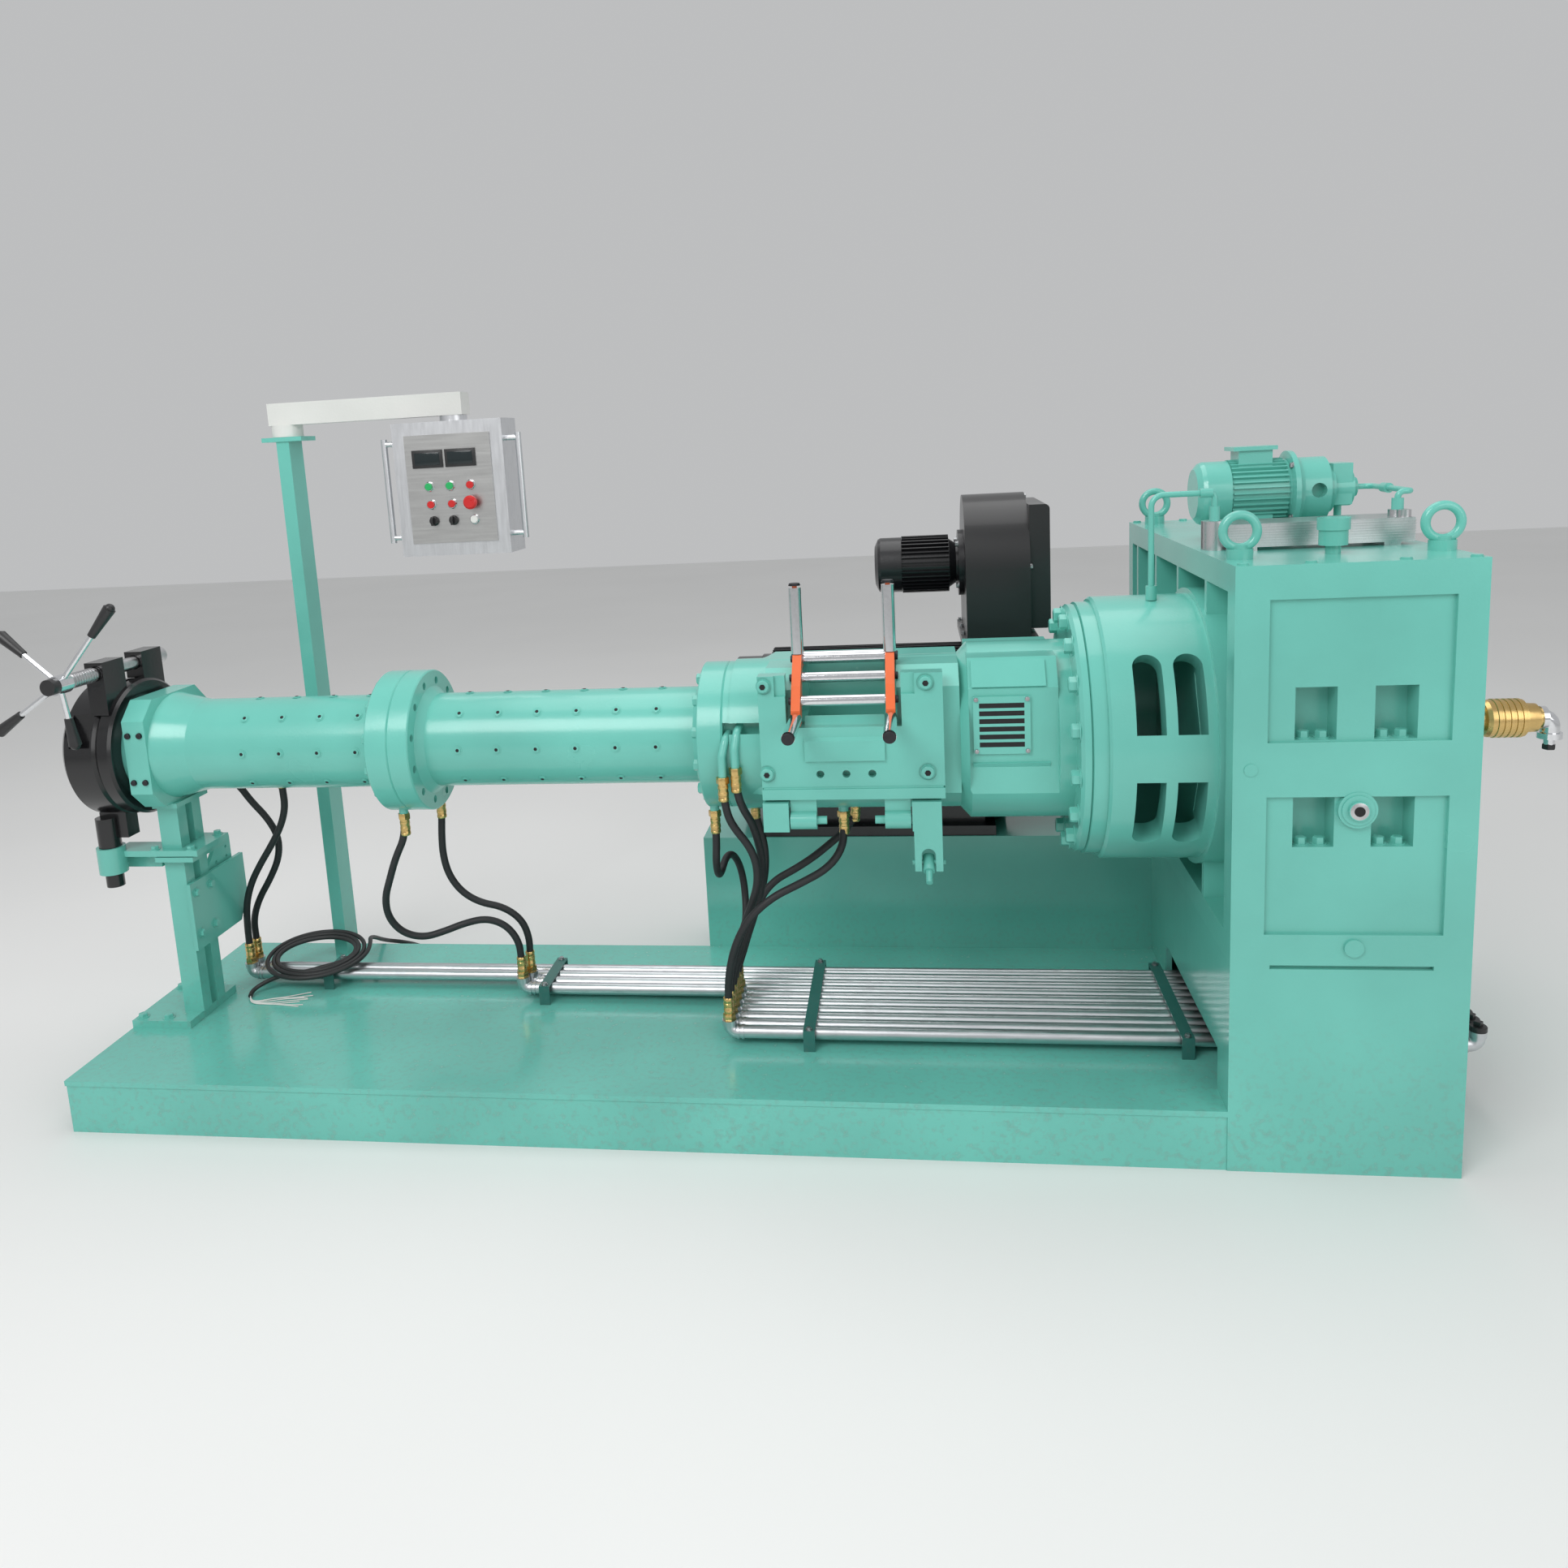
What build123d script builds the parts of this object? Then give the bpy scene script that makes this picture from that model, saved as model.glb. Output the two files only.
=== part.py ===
from build123d import *
from math import cos, radians, sin, tan
import os

os.makedirs("parts", exist_ok=True)

# Driving dimensions in millimetres. X runs along the screw from the head to the gearbox, Y is the
# depth away from the operator, Z is up from the floor, and the screw axis lies in the plane Y = 0.
BASE_LENGTH = 3400
BASE_FRONT = -409
BASE_BACK = 473
BASE_HEIGHT = 146
DECK = 14
SCREW_Z = 946
GEARBOX_LEFT = 1205
GEARBOX_BACK = 847
GEARBOX_SEAM = 499
GEARBOX_TOP = 1383
BARREL_R = 126
FLANGE_R = 190
DRUM_R = 325
HOUSING_R = 201
PIPE_R = 16.9
PIPE_PITCH = 39.5
PIPE_Z = 180

BASE_LEFT = -BASE_LENGTH / 2
BASE_RIGHT = BASE_LENGTH / 2
CABLE_GLAND = (-1085, 489, 88)


# Shape helpers: a block between two corners, round bars along each axis, and a turned body on the
# screw axis from (x, radius) points.
def block(x0, x1, y0, y1, z0, z1):
    return Pos((x0 + x1) / 2, (y0 + y1) / 2, (z0 + z1) / 2) * Box(x1 - x0, y1 - y0, z1 - z0)


def rod_x(x0, x1, y, z, r):
    return Pos((x0 + x1) / 2, y, z) * Rot(0, 90, 0) * Cylinder(r, x1 - x0)


def rod_y(x, y0, y1, z, r):
    return Pos(x, (y0 + y1) / 2, z) * Rot(90, 0, 0) * Cylinder(r, y1 - y0)


def rod_z(x, y, z0, z1, r):
    return Pos(x, y, (z0 + z1) / 2) * Cylinder(r, z1 - z0)


def turned(points, y=0, z=SCREW_Z):
    outline = [(points[0][0], 0)] + list(points) + [(points[-1][0], 0)]
    face = make_face(Polyline(*[(px, 0, pr) for px, pr in outline], close=True))
    return Pos(0, y, z) * revolve(face, Axis.X)


def prism_x(x0, x1, outline):
    face = make_face(Polyline(*[(x0, py, pz) for py, pz in outline], close=True))
    return extrude(face, amount=x1 - x0, dir=(1, 0, 0))


def bar(start, direction, a, b, r):
    plane = Plane(origin=start + direction * a, z_dir=direction)
    return plane * Cylinder(r, b - a, align=(Align.CENTER, Align.CENTER, Align.MIN))


def ring_places(count, radius, first_deg=0):
    for i in range(count):
        turn = radians(first_deg + i * 360 / count)
        yield radius * cos(turn), SCREW_Z + radius * sin(turn)


def tube(points, r, bends):
    route = FilletPolyline(*points, radius=bends)
    return sweep(Plane(origin=route @ 0, z_dir=route % 0) * Circle(r), path=route)


def joined(shapes):
    whole = shapes[0]
    for shape in shapes[1:]:
        whole = whole + shape
    return whole


def save(name, shape):
    export_step(shape, f"parts/{name}.step")


# Bedplate: a long low steel box whose deck plate stands a little proud of the skirt.
def base_frame():
    lip = 3
    skirt = block(BASE_LEFT + lip, GEARBOX_LEFT, BASE_FRONT + lip, BASE_BACK - lip, 0, BASE_HEIGHT - DECK)
    deck = block(BASE_LEFT, GEARBOX_LEFT, BASE_FRONT, BASE_BACK, BASE_HEIGHT - DECK, BASE_HEIGHT)
    x, y, z = CABLE_GLAND
    return skirt + deck + rod_y(x, BASE_BACK - lip - 1, y, z, 12)


# Box under the gearbox: hollow, with a low opening where the water pipes run in and a row of holes
# in the far wall where they come out.
WALL = 16
PIPE_COUNT = 10
PIPE_FRONT_Y = -140
PIPE_ROWS = [PIPE_FRONT_Y + i * PIPE_PITCH for i in range(PIPE_COUNT)]
OPENING_FRONT = -310
OPENING_BACK = 270
OPENING_TOP = 250
GROOVE_X = (1288, 1624)


def gearbox_base():
    box = block(GEARBOX_LEFT, BASE_RIGHT, BASE_FRONT, GEARBOX_BACK, 0, GEARBOX_SEAM)
    box -= block(GEARBOX_LEFT + WALL, BASE_RIGHT - WALL, BASE_FRONT + WALL, GEARBOX_BACK - WALL,
                 BASE_HEIGHT, GEARBOX_SEAM - WALL)
    box -= block(GEARBOX_LEFT - 1, GEARBOX_LEFT + WALL + 1, OPENING_FRONT, OPENING_BACK,
                 BASE_HEIGHT, OPENING_TOP)
    for y in PIPE_ROWS:
        box -= rod_x(BASE_RIGHT - WALL - 1, BASE_RIGHT + 1, y, PIPE_Z, PIPE_R)
    return box - block(*GROOVE_X, BASE_FRONT - 1, BASE_FRONT + 12, GEARBOX_SEAM - 9, GEARBOX_SEAM + 1)


# Pedestal of the main motor: a plain closed box that stands behind the bedplate.
PEDESTAL_LEFT = -125
PEDESTAL_BACK = 1003


def motor_pedestal():
    return block(PEDESTAL_LEFT, GEARBOX_LEFT, BASE_BACK, PEDESTAL_BACK, 0, GEARBOX_SEAM)


# Gearbox housing: a tall cast box with two recessed panels and four pockets in the front face, a
# framed recess with ribs round the drum seat on the left face, and a flat lid.
PANEL_DEPTH = 10
POCKET_DEPTH = 70
PANEL_X = (1275, 1640)
UPPER_PANEL = (1002, 1310)
LOWER_PANEL = (570, 882)
POCKETS_X = ((1332, 1416), (1491, 1576))
UPPER_POCKETS = (1005, 1120)
LOWER_POCKETS = (767, 878)
SIDE_DEPTH = 70
SIDE_FRAME = 60
SEAT_R = DRUM_R + 14
GLASS_X = 1460
GLASS_Z = 852
RIB = 10


def gearbox_housing():
    body = block(GEARBOX_LEFT, BASE_RIGHT, BASE_FRONT, GEARBOX_BACK, GEARBOX_SEAM, GEARBOX_TOP)
    for low, high in (UPPER_PANEL, LOWER_PANEL):
        body -= block(*PANEL_X, BASE_FRONT - 1, BASE_FRONT + PANEL_DEPTH, low, high)
    for x0, x1 in POCKETS_X:
        for low, high in (UPPER_POCKETS, LOWER_POCKETS):
            body -= block(x0, x1, BASE_FRONT - 1, BASE_FRONT + POCKET_DEPTH, low, high)
    for r, front in ((40, BASE_FRONT - 2), (33, BASE_FRONT - 5), (21, BASE_FRONT - 12)):
        body += rod_y(GLASS_X, front, BASE_FRONT + 40, GLASS_Z, r)
    body += rod_y(GLASS_X, BASE_FRONT - 6, BASE_FRONT + 40, 541, 20)
    body += rod_y(1242, BASE_FRONT - 2, BASE_FRONT + 10, 943, 14)
    recess = block(GEARBOX_LEFT - 1, GEARBOX_LEFT + SIDE_DEPTH, BASE_FRONT + SIDE_FRAME,
                   GEARBOX_BACK - SIDE_FRAME, GEARBOX_SEAM + SIDE_FRAME, GEARBOX_TOP - SIDE_FRAME)
    recess -= rod_x(GEARBOX_LEFT - 2, GEARBOX_LEFT + SIDE_DEPTH + 1, 0, SCREW_Z, SEAT_R)
    recess -= rod_x(GEARBOX_LEFT - 2, GEARBOX_LEFT + SIDE_DEPTH + 1, MOTOR_Y, MOTOR_Z, 150)
    for y in (-150, 150, 430, MOTOR_Y):
        recess -= block(GEARBOX_LEFT - 2, GEARBOX_LEFT + SIDE_DEPTH + 1, y - RIB, y + RIB,
                        GEARBOX_SEAM, GEARBOX_TOP)
    recess -= block(GEARBOX_LEFT - 2, GEARBOX_LEFT + SIDE_DEPTH + 1, SEAT_R - 20, GEARBOX_BACK,
                    SCREW_Z - RIB, SCREW_Z + RIB)
    body -= recess
    body += rod_x(GEARBOX_LEFT - 8, GEARBOX_LEFT + 1, 0, SCREW_Z, SEAT_R)
    return body + rod_x(GEARBOX_LEFT - 40, GEARBOX_LEFT + 1, MOTOR_Y, MOTOR_Z, 149)


# Drum between gearbox and feed housing: a thick ring casting with four slots in the front that
# give a spanner access to the bolts inside.
DRUM_LEFT = 965
DRUM_FLANGE_LEFT = 905
DRUM_WALL = 60
SLOT_HALF = 32
SLOT_MID_DEG = 26.5
SLOT_ENDS = (-94, 62)
SLOTS_X = (1055, 1144)


def adapter_drum():
    drum = turned([(DRUM_LEFT, DRUM_R - 12), (DRUM_LEFT, DRUM_R - 6), (DRUM_LEFT + 6, DRUM_R),
                   (GEARBOX_LEFT - 8, DRUM_R)])
    drum -= rod_x(DRUM_LEFT + 30, GEARBOX_LEFT - 30, 0, SCREW_Z, DRUM_R - DRUM_WALL)
    for side in (-1, 1):
        turn = radians(side * SLOT_MID_DEG)
        for x in SLOTS_X:
            out = Plane(origin=(x, 0, SCREW_Z), x_dir=(1, 0, 0), z_dir=(0, -cos(turn), sin(turn)))
            low, high = SLOT_ENDS
            outline = Pos(0, side * (low + high) / 2) * Rectangle(2 * SLOT_HALF, high - low)
            outline += Pos(0, side * high) * Circle(SLOT_HALF)
            drum -= out * (Pos(0, 0, DRUM_R - DRUM_WALL - 30) * extrude(outline, amount=120))
    return drum


def adapter_flange():
    return turned([(DRUM_FLANGE_LEFT, 300), (DRUM_FLANGE_LEFT + 8, 308), (928, 308), (930, 304),
                   (932, 313), (DRUM_LEFT, 313)])


# Feed housing: a round casting with flat shoulders, taller towards the gearbox, with a flange disc
# at the barrel end.
HOUSING_LEFT = 60
HOUSING_FRONT = -175
SHOULDER_X = 170
STEP_X = 640
BOX_RIGHT = 868
NOTCH_X = (62, 158)
NECK_R = 222
BORE_R = 46
MOUTH_X = (268, 460)
HINGE_Z = 777
HINGE_Y = -214
HINGES_X = ((226, 290), (455, 517))
HINGE_ARMS_X = ((160, 223), (520, 590))
PIN_R = 10
RUNNING = 0.05
GUIDE_X = ((240, 262), (466, 488))


def feed_housing():
    section = [(-175, 830), (-175, 1095), (-120, 1140), (110, 1140), (175, 1095), (175, 830)]
    front = block(NOTCH_X[1], STEP_X + 20, -HOUSING_R - 9, HOUSING_FRONT, SCREW_Z - 220, SCREW_Z + 220)
    body = rod_x(HOUSING_LEFT + 20, STEP_X + 10, 0, SCREW_Z, HOUSING_R - 6) - front
    body += turned([(HOUSING_LEFT, FLANGE_R - 3), (HOUSING_LEFT + 3, FLANGE_R), (98, FLANGE_R),
                    (101, FLANGE_R - 3)])
    shoulder = loft([Plane.YZ.offset(100) * (Pos(0, SCREW_Z) * Circle(FLANGE_R - 3)),
                     make_face(Polyline(*[(SHOULDER_X, y, z) for y, z in section], close=True))])
    body += shoulder - front
    body += prism_x(SHOULDER_X, STEP_X, section)
    body += turned([(STEP_X, HOUSING_R - 6), (STEP_X + 25, NECK_R), (DRUM_FLANGE_LEFT, NECK_R)])
    body -= block(STEP_X + 20, BOX_RIGHT, -NECK_R - 1, -190, SCREW_Z - 130, SCREW_Z + 130)
    body += prism_x(STEP_X + 20, BOX_RIGHT, [(-150, 846), (-190, 910), (-190, 1089), (-145, 1156),
                                             (130, 1156), (190, 1089), (190, 910), (150, 846)])
    body += prism_x(STEP_X + 28, BOX_RIGHT - 28, [(-188, 1092), (-196, 1094), (-157, 1152), (-150, 1148)])
    body += prism_x(STEP_X + 28, BOX_RIGHT - 20, [(-150, 850), (-158, 848), (-197, 908), (-188, 910)])
    body -= block(NOTCH_X[0], NOTCH_X[1], -FLANGE_R, -150, 968, 1016)
    body -= rod_x(HOUSING_LEFT - 1, DRUM_FLANGE_LEFT + 1, 0, SCREW_Z, BORE_R)
    body -= block(*MOUTH_X, HOUSING_FRONT - 1, -20, SCREW_Z, SCREW_Z + 200)
    body -= block(GUIDE_X[0][0] - 3, GUIDE_X[1][1] + 3, HOUSING_FRONT - 1, -50, 1015, 1150)
    for x0, x1 in HINGE_ARMS_X:
        body += block(x0, x1, HINGE_Y - 20, -120, HINGE_Z - 24, 826)
    for x0, x1 in HINGES_X:
        body += rod_x(x0 - 24, x1 + 24, HINGE_Y, HINGE_Z, PIN_R)
        body -= rod_x(x0 - 2, x1 + 2, HINGE_Y, HINGE_Z, 40) - rod_x(x0 - 3, x1 + 3, HINGE_Y, HINGE_Z, PIN_R)
    for piece in (clevis(), *hose_fittings()):
        body += piece
    return body


# Fork below the right hinge arm, with the pin of the swing bolt that is drawn tight in it.
SWING = Vector(556, HINGE_Y, 668)


def clevis():
    fork = block(HINGE_ARMS_X[1][0] + 3, HINGE_ARMS_X[1][1], HINGE_Y - 20, HINGE_Y + 20, 652, HINGE_Z - 20)
    fork -= block(SWING.X - 17, SWING.X + 17, HINGE_Y - 21, HINGE_Y + 21, 651, 692)
    fork -= rod_y(SWING.X, HINGE_Y - 21, HINGE_Y + 21, 692, 17)
    fork += rod_x(HINGE_ARMS_X[1][0] - 3, HINGE_ARMS_X[1][1] + 6, HINGE_Y, SWING.Z, 6)
    lean = Vector(0, -0.8, -0.6)
    return fork + bar(SWING, lean, -18, 26, 14) + bar(SWING, lean, 26, 58, 8)


# Fittings for the hoses under the housing: two bent tubes that come out of a notch in the front of
# the shoulder, and short bosses underneath.
BENT_FITTINGS = (((74, -130, 988), (70, -188, 978), (60, -203, 936), (60, -203, 886)),
                 ((102, -130, 1004), (99, -188, 994), (93, -203, 954), (93, -203, 909)))
BOSS_R = 13
BOSSES = ((12, -70, 760), (100, 60, 757), (372, 55, 750), (345, -60, 752))


def hose_fittings():
    fittings = [tube(points, 10, 22) for points in BENT_FITTINGS]
    return fittings + [rod_z(x, y, z, z + 40, BOSS_R) for x, y, z in BOSSES[1:]]


# Barrels: two flanged cylinders, and the octagonal flange that carries the head.
FLANGE_BOSSES = ((-844, -60, 757), (-794, 75, 762))
BARREL_BOSS = (-1281, 100, 849)
SIDE_BOSS = Vector(-1502, 122.5, 829)


def barrel_rear():
    body = turned([(-815, FLANGE_R - 3), (-812, FLANGE_R), (-761, FLANGE_R), (-758, FLANGE_R - 3),
                   (-758, BARREL_R + 20), (-738, BARREL_R), (-24, BARREL_R), (-4, BARREL_R + 20),
                   (-4, FLANGE_R - 3), (-1, FLANGE_R), (57, FLANGE_R), (60, FLANGE_R - 3)])
    for y, z in ring_places(12, 161, 15):
        body -= rod_x(-783, -757, y, z, 10)
    body += joined([rod_z(x, y, z, z + 40, 12) for x, y, z in (BOSSES[0], *FLANGE_BOSSES[1:])])
    return body - rod_x(-816, 61, 0, SCREW_Z, BORE_R)


def barrel_front():
    body = turned([(-1513, 148), (-1450, BARREL_R + 6), (-1420, BARREL_R), (-897, BARREL_R),
                   (-877, BARREL_R + 20), (-877, FLANGE_R - 3), (-874, FLANGE_R), (-818, FLANGE_R),
                   (-815, FLANGE_R - 3)])
    half = 151
    cut = 50
    outline = [(-half, cut - half), (-half, half - cut), (cut - half, half), (half - cut, half),
               (half, half - cut), (half, cut - half), (half - cut, -half), (cut - half, -half)]
    body += prism_x(-1577, -1513, [(y, SCREW_Z + z) for y, z in outline])
    body += turned([(-1597, 140), (-1577, 147)])
    for x in (-1563, -1529):
        for z in (SCREW_Z - 68, SCREW_Z + 62):
            body -= rod_y(x, -half - 1, -half + 20, z, 6)
    x, y, z = FLANGE_BOSSES[0]
    body += rod_z(x, y, z, z + 40, 12)
    x, y, z = BARREL_BOSS
    body += rod_z(x, y, z, z + 50, 12)
    body += bar(SIDE_BOSS, Vector(-32, -1.5, 9).normalized(), 0, 20, 12)
    return body - rod_x(-1598, -814, 0, SCREW_Z, BORE_R)


# Quick-opening head: a black round die head, held by a clamp ring that a spindle with a
# four-armed capstan draws together over the top.
HEAD_R = 190
HEAD_BORE_R = 60
SPINDLE_X = -1636
SPINDLE_Z = 1180


def head_body():
    body = turned([(-1745, HEAD_R - 14), (-1731, HEAD_R), (-1650, HEAD_R), (-1640, HEAD_R - 10)])
    body -= block(-1716, -1655, -HEAD_R - 1, -145, 985, 1150)
    return body - rod_x(-1746, -1639, 0, SCREW_Z, HEAD_BORE_R)


def head_clamp():
    ring = turned([(-1640, 184), (-1634, 190), (-1604, 190), (-1597, 183)])
    ring -= rod_x(-1641, -1596, 0, SCREW_Z, BORE_R)
    for y0, y1 in ((-150, -60), (20, 110)):
        lug = block(SPINDLE_X - 26, SPINDLE_X + 26, y0, y1, SCREW_Z + 120, SPINDLE_Z + 30)
        lug -= rod_x(-1700, -1640, 0, SCREW_Z, HEAD_R + 1)
        ring += lug - rod_y(SPINDLE_X, y0 - 1, y1 + 1, SPINDLE_Z, 20.05)
    return ring


def clamp_spindle():
    spindle = rod_y(SPINDLE_X, -262, 140, SPINDLE_Z, 18)
    for i in range(9):
        spindle += rod_y(SPINDLE_X, -246 + i * 10, -240 + i * 10, SPINDLE_Z, 20)
    return spindle + rod_y(SPINDLE_X, 112, 140, SPINDLE_Z, 24)


# Each arm of the capstan has its turn about the spindle, its length to the grip and to its end.
CAPSTAN_ARMS = ((51, 155, 243), (142, 128, 210), (210.6, 160, 250), (272, 92, 166))
HUB_Y = -285


def capstan_arms():
    for turn, grip, end in CAPSTAN_ARMS:
        lean = radians(-6)
        out = Vector(cos(radians(turn)) * cos(lean), -sin(lean), sin(radians(turn)) * cos(lean))
        yield Vector(SPINDLE_X, HUB_Y, SPINDLE_Z), out, grip, end


def capstan():
    hub = rod_y(SPINDLE_X, HUB_Y - 24, HUB_Y + 23, SPINDLE_Z, 25)
    for start, out, grip, _ in capstan_arms():
        hub += bar(start, out, 10, grip, 7)
    return hub


def capstan_grips():
    grips = [rod_y(SPINDLE_X, HUB_Y - 46, HUB_Y - 24, SPINDLE_Z, 21)]
    for start, out, grip, end in capstan_arms():
        base = Plane(origin=start + out * grip, z_dir=out)
        long = end - grip
        grips.append(base * (Pos(0, 0, long / 2) * Cone(10.5, 16, long) + Pos(0, 0, long) * Sphere(13)))
    return joined(grips)


# Hinge of the head: a green bracket arm on the saddle with a boss for the vertical black pin.
PIN_X = -1715
PIN_Y = -80
SADDLE_LEFT = -1600


def hinge_bracket():
    body = block(PIN_X, SADDLE_LEFT, PIN_Y, PIN_Y + 80, 643, 660)
    body += block(PIN_X, SADDLE_LEFT, PIN_Y + 50, PIN_Y + 66, 596, 643)
    return body + rod_z(PIN_X, PIN_Y, 600, 675, 38)


def hinge_pin():
    pin = rod_z(PIN_X, PIN_Y, 675, 760, 30) + rod_z(PIN_X, PIN_Y, 560, 600, 24)
    pin += block(PIN_X - 20, PIN_X + 60, PIN_Y, PIN_Y + 50, 700, 790)
    return pin - rod_x(-1750, -1640, 0, SCREW_Z, HEAD_R)


# Column under the head end: two upright tubes on a foot plate, joined by side plates, with a
# saddle on top that takes the barrel.
def column():
    body = block(-1700, -1520, -118, 118, BASE_HEIGHT, BASE_HEIGHT + 22)
    for y0, y1 in ((-55, -15), (15, 55)):
        body += block(-1575, -1515, y0, y1, BASE_HEIGHT + 22, 626)
    body += block(-1585, -1470, -80, 80, 626, 640)
    body += prism_x(-1515, -1503, [(-61, 355), (168, 355), (215, 430), (215, 552), (-61, 552)])
    body += block(-1530, -1503, -40, 40, 385, 410) + block(-1530, -1503, -40, 40, 480, 505)
    rear = prism_x(-1533, -1521, [(50, 430), (50, 545), (120, 618), (185, 618), (185, 430)])
    for y, z in ((105, 560), (118, 530), (160, 590), (160, 560)):
        rear -= rod_x(-1534, -1520, y, z, 5)
    return body + rear + block(-1533, -1503, 60, 180, 440, 456)


def column_saddle():
    body = block(SADDLE_LEFT, -1455, -80, 80, 643, 660)
    for y0, y1 in ((-55, -15), (15, 55)):
        body += block(-1575, -1515, y0, y1, 660, 781)
    return body + block(-1575, -1500, -75, 75, 781, 795)


# Main motor with its fan-cooled body and the cover over its coupling to the gearbox.
MOTOR_Y = 705
MOTOR_Z = 775
MOTOR_R = 250


def main_motor():
    body = turned([(-45, 90), (-35, 150), (-20, MOTOR_R - 6), (60, MOTOR_R - 6), (60, MOTOR_R),
                   (760, MOTOR_R), (770, 275), (800, 275), (800, 220), (885, 150)], MOTOR_Y, MOTOR_Z)
    for y in (-175, 175):
        body += block(60, 760, MOTOR_Y + y - 50, MOTOR_Y + y + 50, GEARBOX_SEAM, GEARBOX_SEAM + 30)
        body += block(90, 730, MOTOR_Y + y - 12, MOTOR_Y + y + 12, GEARBOX_SEAM, MOTOR_Z - 140)
    return body + rod_x(885, GEARBOX_LEFT - 40, MOTOR_Y, MOTOR_Z, 135)


# Cooling blower on top of the motor.
BLOWER_Z = 1295
BLOWER_R = 205


def blower_housing():
    body = rod_x(690, 873, MOTOR_Y, BLOWER_Z, BLOWER_R)
    body += block(690, 873, MOTOR_Y - BLOWER_R, MOTOR_Y + BLOWER_R, 1085, BLOWER_Z)
    body += block(676, 898, MOTOR_Y - BLOWER_R - 12, MOTOR_Y + BLOWER_R + 12, 1062, 1085)
    foot = block(700, 860, MOTOR_Y - 120, MOTOR_Y + 120, 990, 1062)
    for x0, x1, r in ((600, 760, MOTOR_R), (759, 800, 275), (799, 900, 220)):
        foot -= rod_x(x0, x1, MOTOR_Y, MOTOR_Z, r)
    body += foot
    box = block(873, 931, MOTOR_Y - 180, MOTOR_Y + 180, 1113, 1472)
    return body + fillet(box.edges().filter_by(Axis.Y).sort_by(Axis.X)[-2:], 14)


def blower_motor():
    return turned([(424, 58), (434, 80), (442, 84), (505, 84), (505, 74), (648, 74), (668, 60), (675, 60),
                   (675, 100), (690, 100)], MOTOR_Y, BLOWER_Z)


# Feed door: the hinged front of the feed housing, with its hinge barrels, and the pins and swing
# bolt that hold it.
DOOR_FRONT = -220
DOOR_BACK = HOUSING_FRONT - 0.5
CHUTE_OUTLINE = [(-176, 1010), (-176, 1030), (-228, 978), (-228, 928), (-220, 926), (-200, 1000)]


def feed_door():
    body = block(160, 600, DOOR_FRONT, DOOR_BACK, 862, 1138)
    body += block(160, 600, DOOR_FRONT - 6, DOOR_BACK, 832, 858)
    body += block(164, 596, DOOR_FRONT - 2, DOOR_BACK, 858, 862)
    body -= block(226, 502, DOOR_FRONT - 1, DOOR_BACK + 1, 1010, 1139)
    body += prism_x(*MOUTH_X, CHUTE_OUTLINE)
    for x in (303, 366, 428):
        body -= rod_y(x, DOOR_FRONT - 1, DOOR_FRONT + 24, 894, 9.5)
    for x0, x1 in ((200, 226), (502, 534)):
        body -= block(x0, x1, DOOR_FRONT - 1, DOOR_FRONT + 9, 1088, 1139)
    for x in (174, 560):
        for z in (897, 1115):
            body -= rod_y(x, DOOR_FRONT - 1, DOOR_FRONT + 2, z, 21)
    for x0, x1 in HINGES_X:
        body += block(x0, x1, HINGE_Y, HINGE_Y + 22, HINGE_Z, 835)
        body += rod_x(x0, x1, HINGE_Y, HINGE_Z, 22)
        body -= rod_x(x0 - 1, x1 + 1, HINGE_Y, HINGE_Z, PIN_R + RUNNING)
    return body


VENT_X = (670, 803)


def vent_cover():
    cover = block(*VENT_X, -197, -190, 931, 1071)
    for i in range(6):
        cover -= block(VENT_X[0] + 14, VENT_X[1] - 14, -198, -192, 948 + i * 19, 960 + i * 19)
    return cover


# Strip guide: two orange side plates that carry eight free-running chrome rollers.
GUIDE_OUTLINE = [(-56, 1143), (-56, 1172), (-132, 1172), (-196, 1108), (-236, 1056), (-236, 1018),
                 (-198, 1018), (-178, 1050), (-120, 1143)]
CROSS_ROLLERS = {"guide_roller_top_back": (-74, 1158), "guide_roller_top_front": (-104, 1158),
                 "guide_roller_middle": (-152, 1120), "guide_roller_bottom": (-200, 1072)}
ROLLER_R = 13
UPRIGHT_R = 15.5
AXLE_R = 6
UPRIGHT_Y = -115
LOWER_Z = 1036


def guide_frame():
    plates = []
    for x0, x1 in GUIDE_X:
        plate = prism_x(x0, x1, GUIDE_OUTLINE) + block(x0, x1, -118, -50, 1138, 1146)
        for y, z in CROSS_ROLLERS.values():
            plate -= rod_x(x0 - 1, x1 + 1, y, z, AXLE_R + RUNNING)
        x = (x0 + x1) / 2
        plate += rod_z(x, UPRIGHT_Y, 1171, 1343, AXLE_R) + rod_y(x, -428, -235, LOWER_Z, AXLE_R)
        plates.append(plate)
    return joined(plates)


def save_rollers():
    for name, (y, z) in CROSS_ROLLERS.items():
        roller = rod_x(GUIDE_X[0][1] + 2, GUIDE_X[1][0] - 2, y, z, ROLLER_R)
        save(name, roller + rod_x(GUIDE_X[0][0] + 1, GUIDE_X[1][1] - 1, y, z, AXLE_R))
    for side, (x0, x1) in zip(("left", "right"), GUIDE_X):
        x = (x0 + x1) / 2
        upright = rod_z(x, UPRIGHT_Y, 1174, 1338, UPRIGHT_R)
        upright -= rod_z(x, UPRIGHT_Y, 1173, 1339, AXLE_R + RUNNING)
        lower = rod_y(x, -423, -239, LOWER_Z, UPRIGHT_R)
        lower -= rod_y(x, -424, -238, LOWER_Z, AXLE_R + RUNNING)
        save(f"guide_roller_upright_{side}", upright)
        save(f"guide_roller_lower_{side}", lower)


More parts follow.
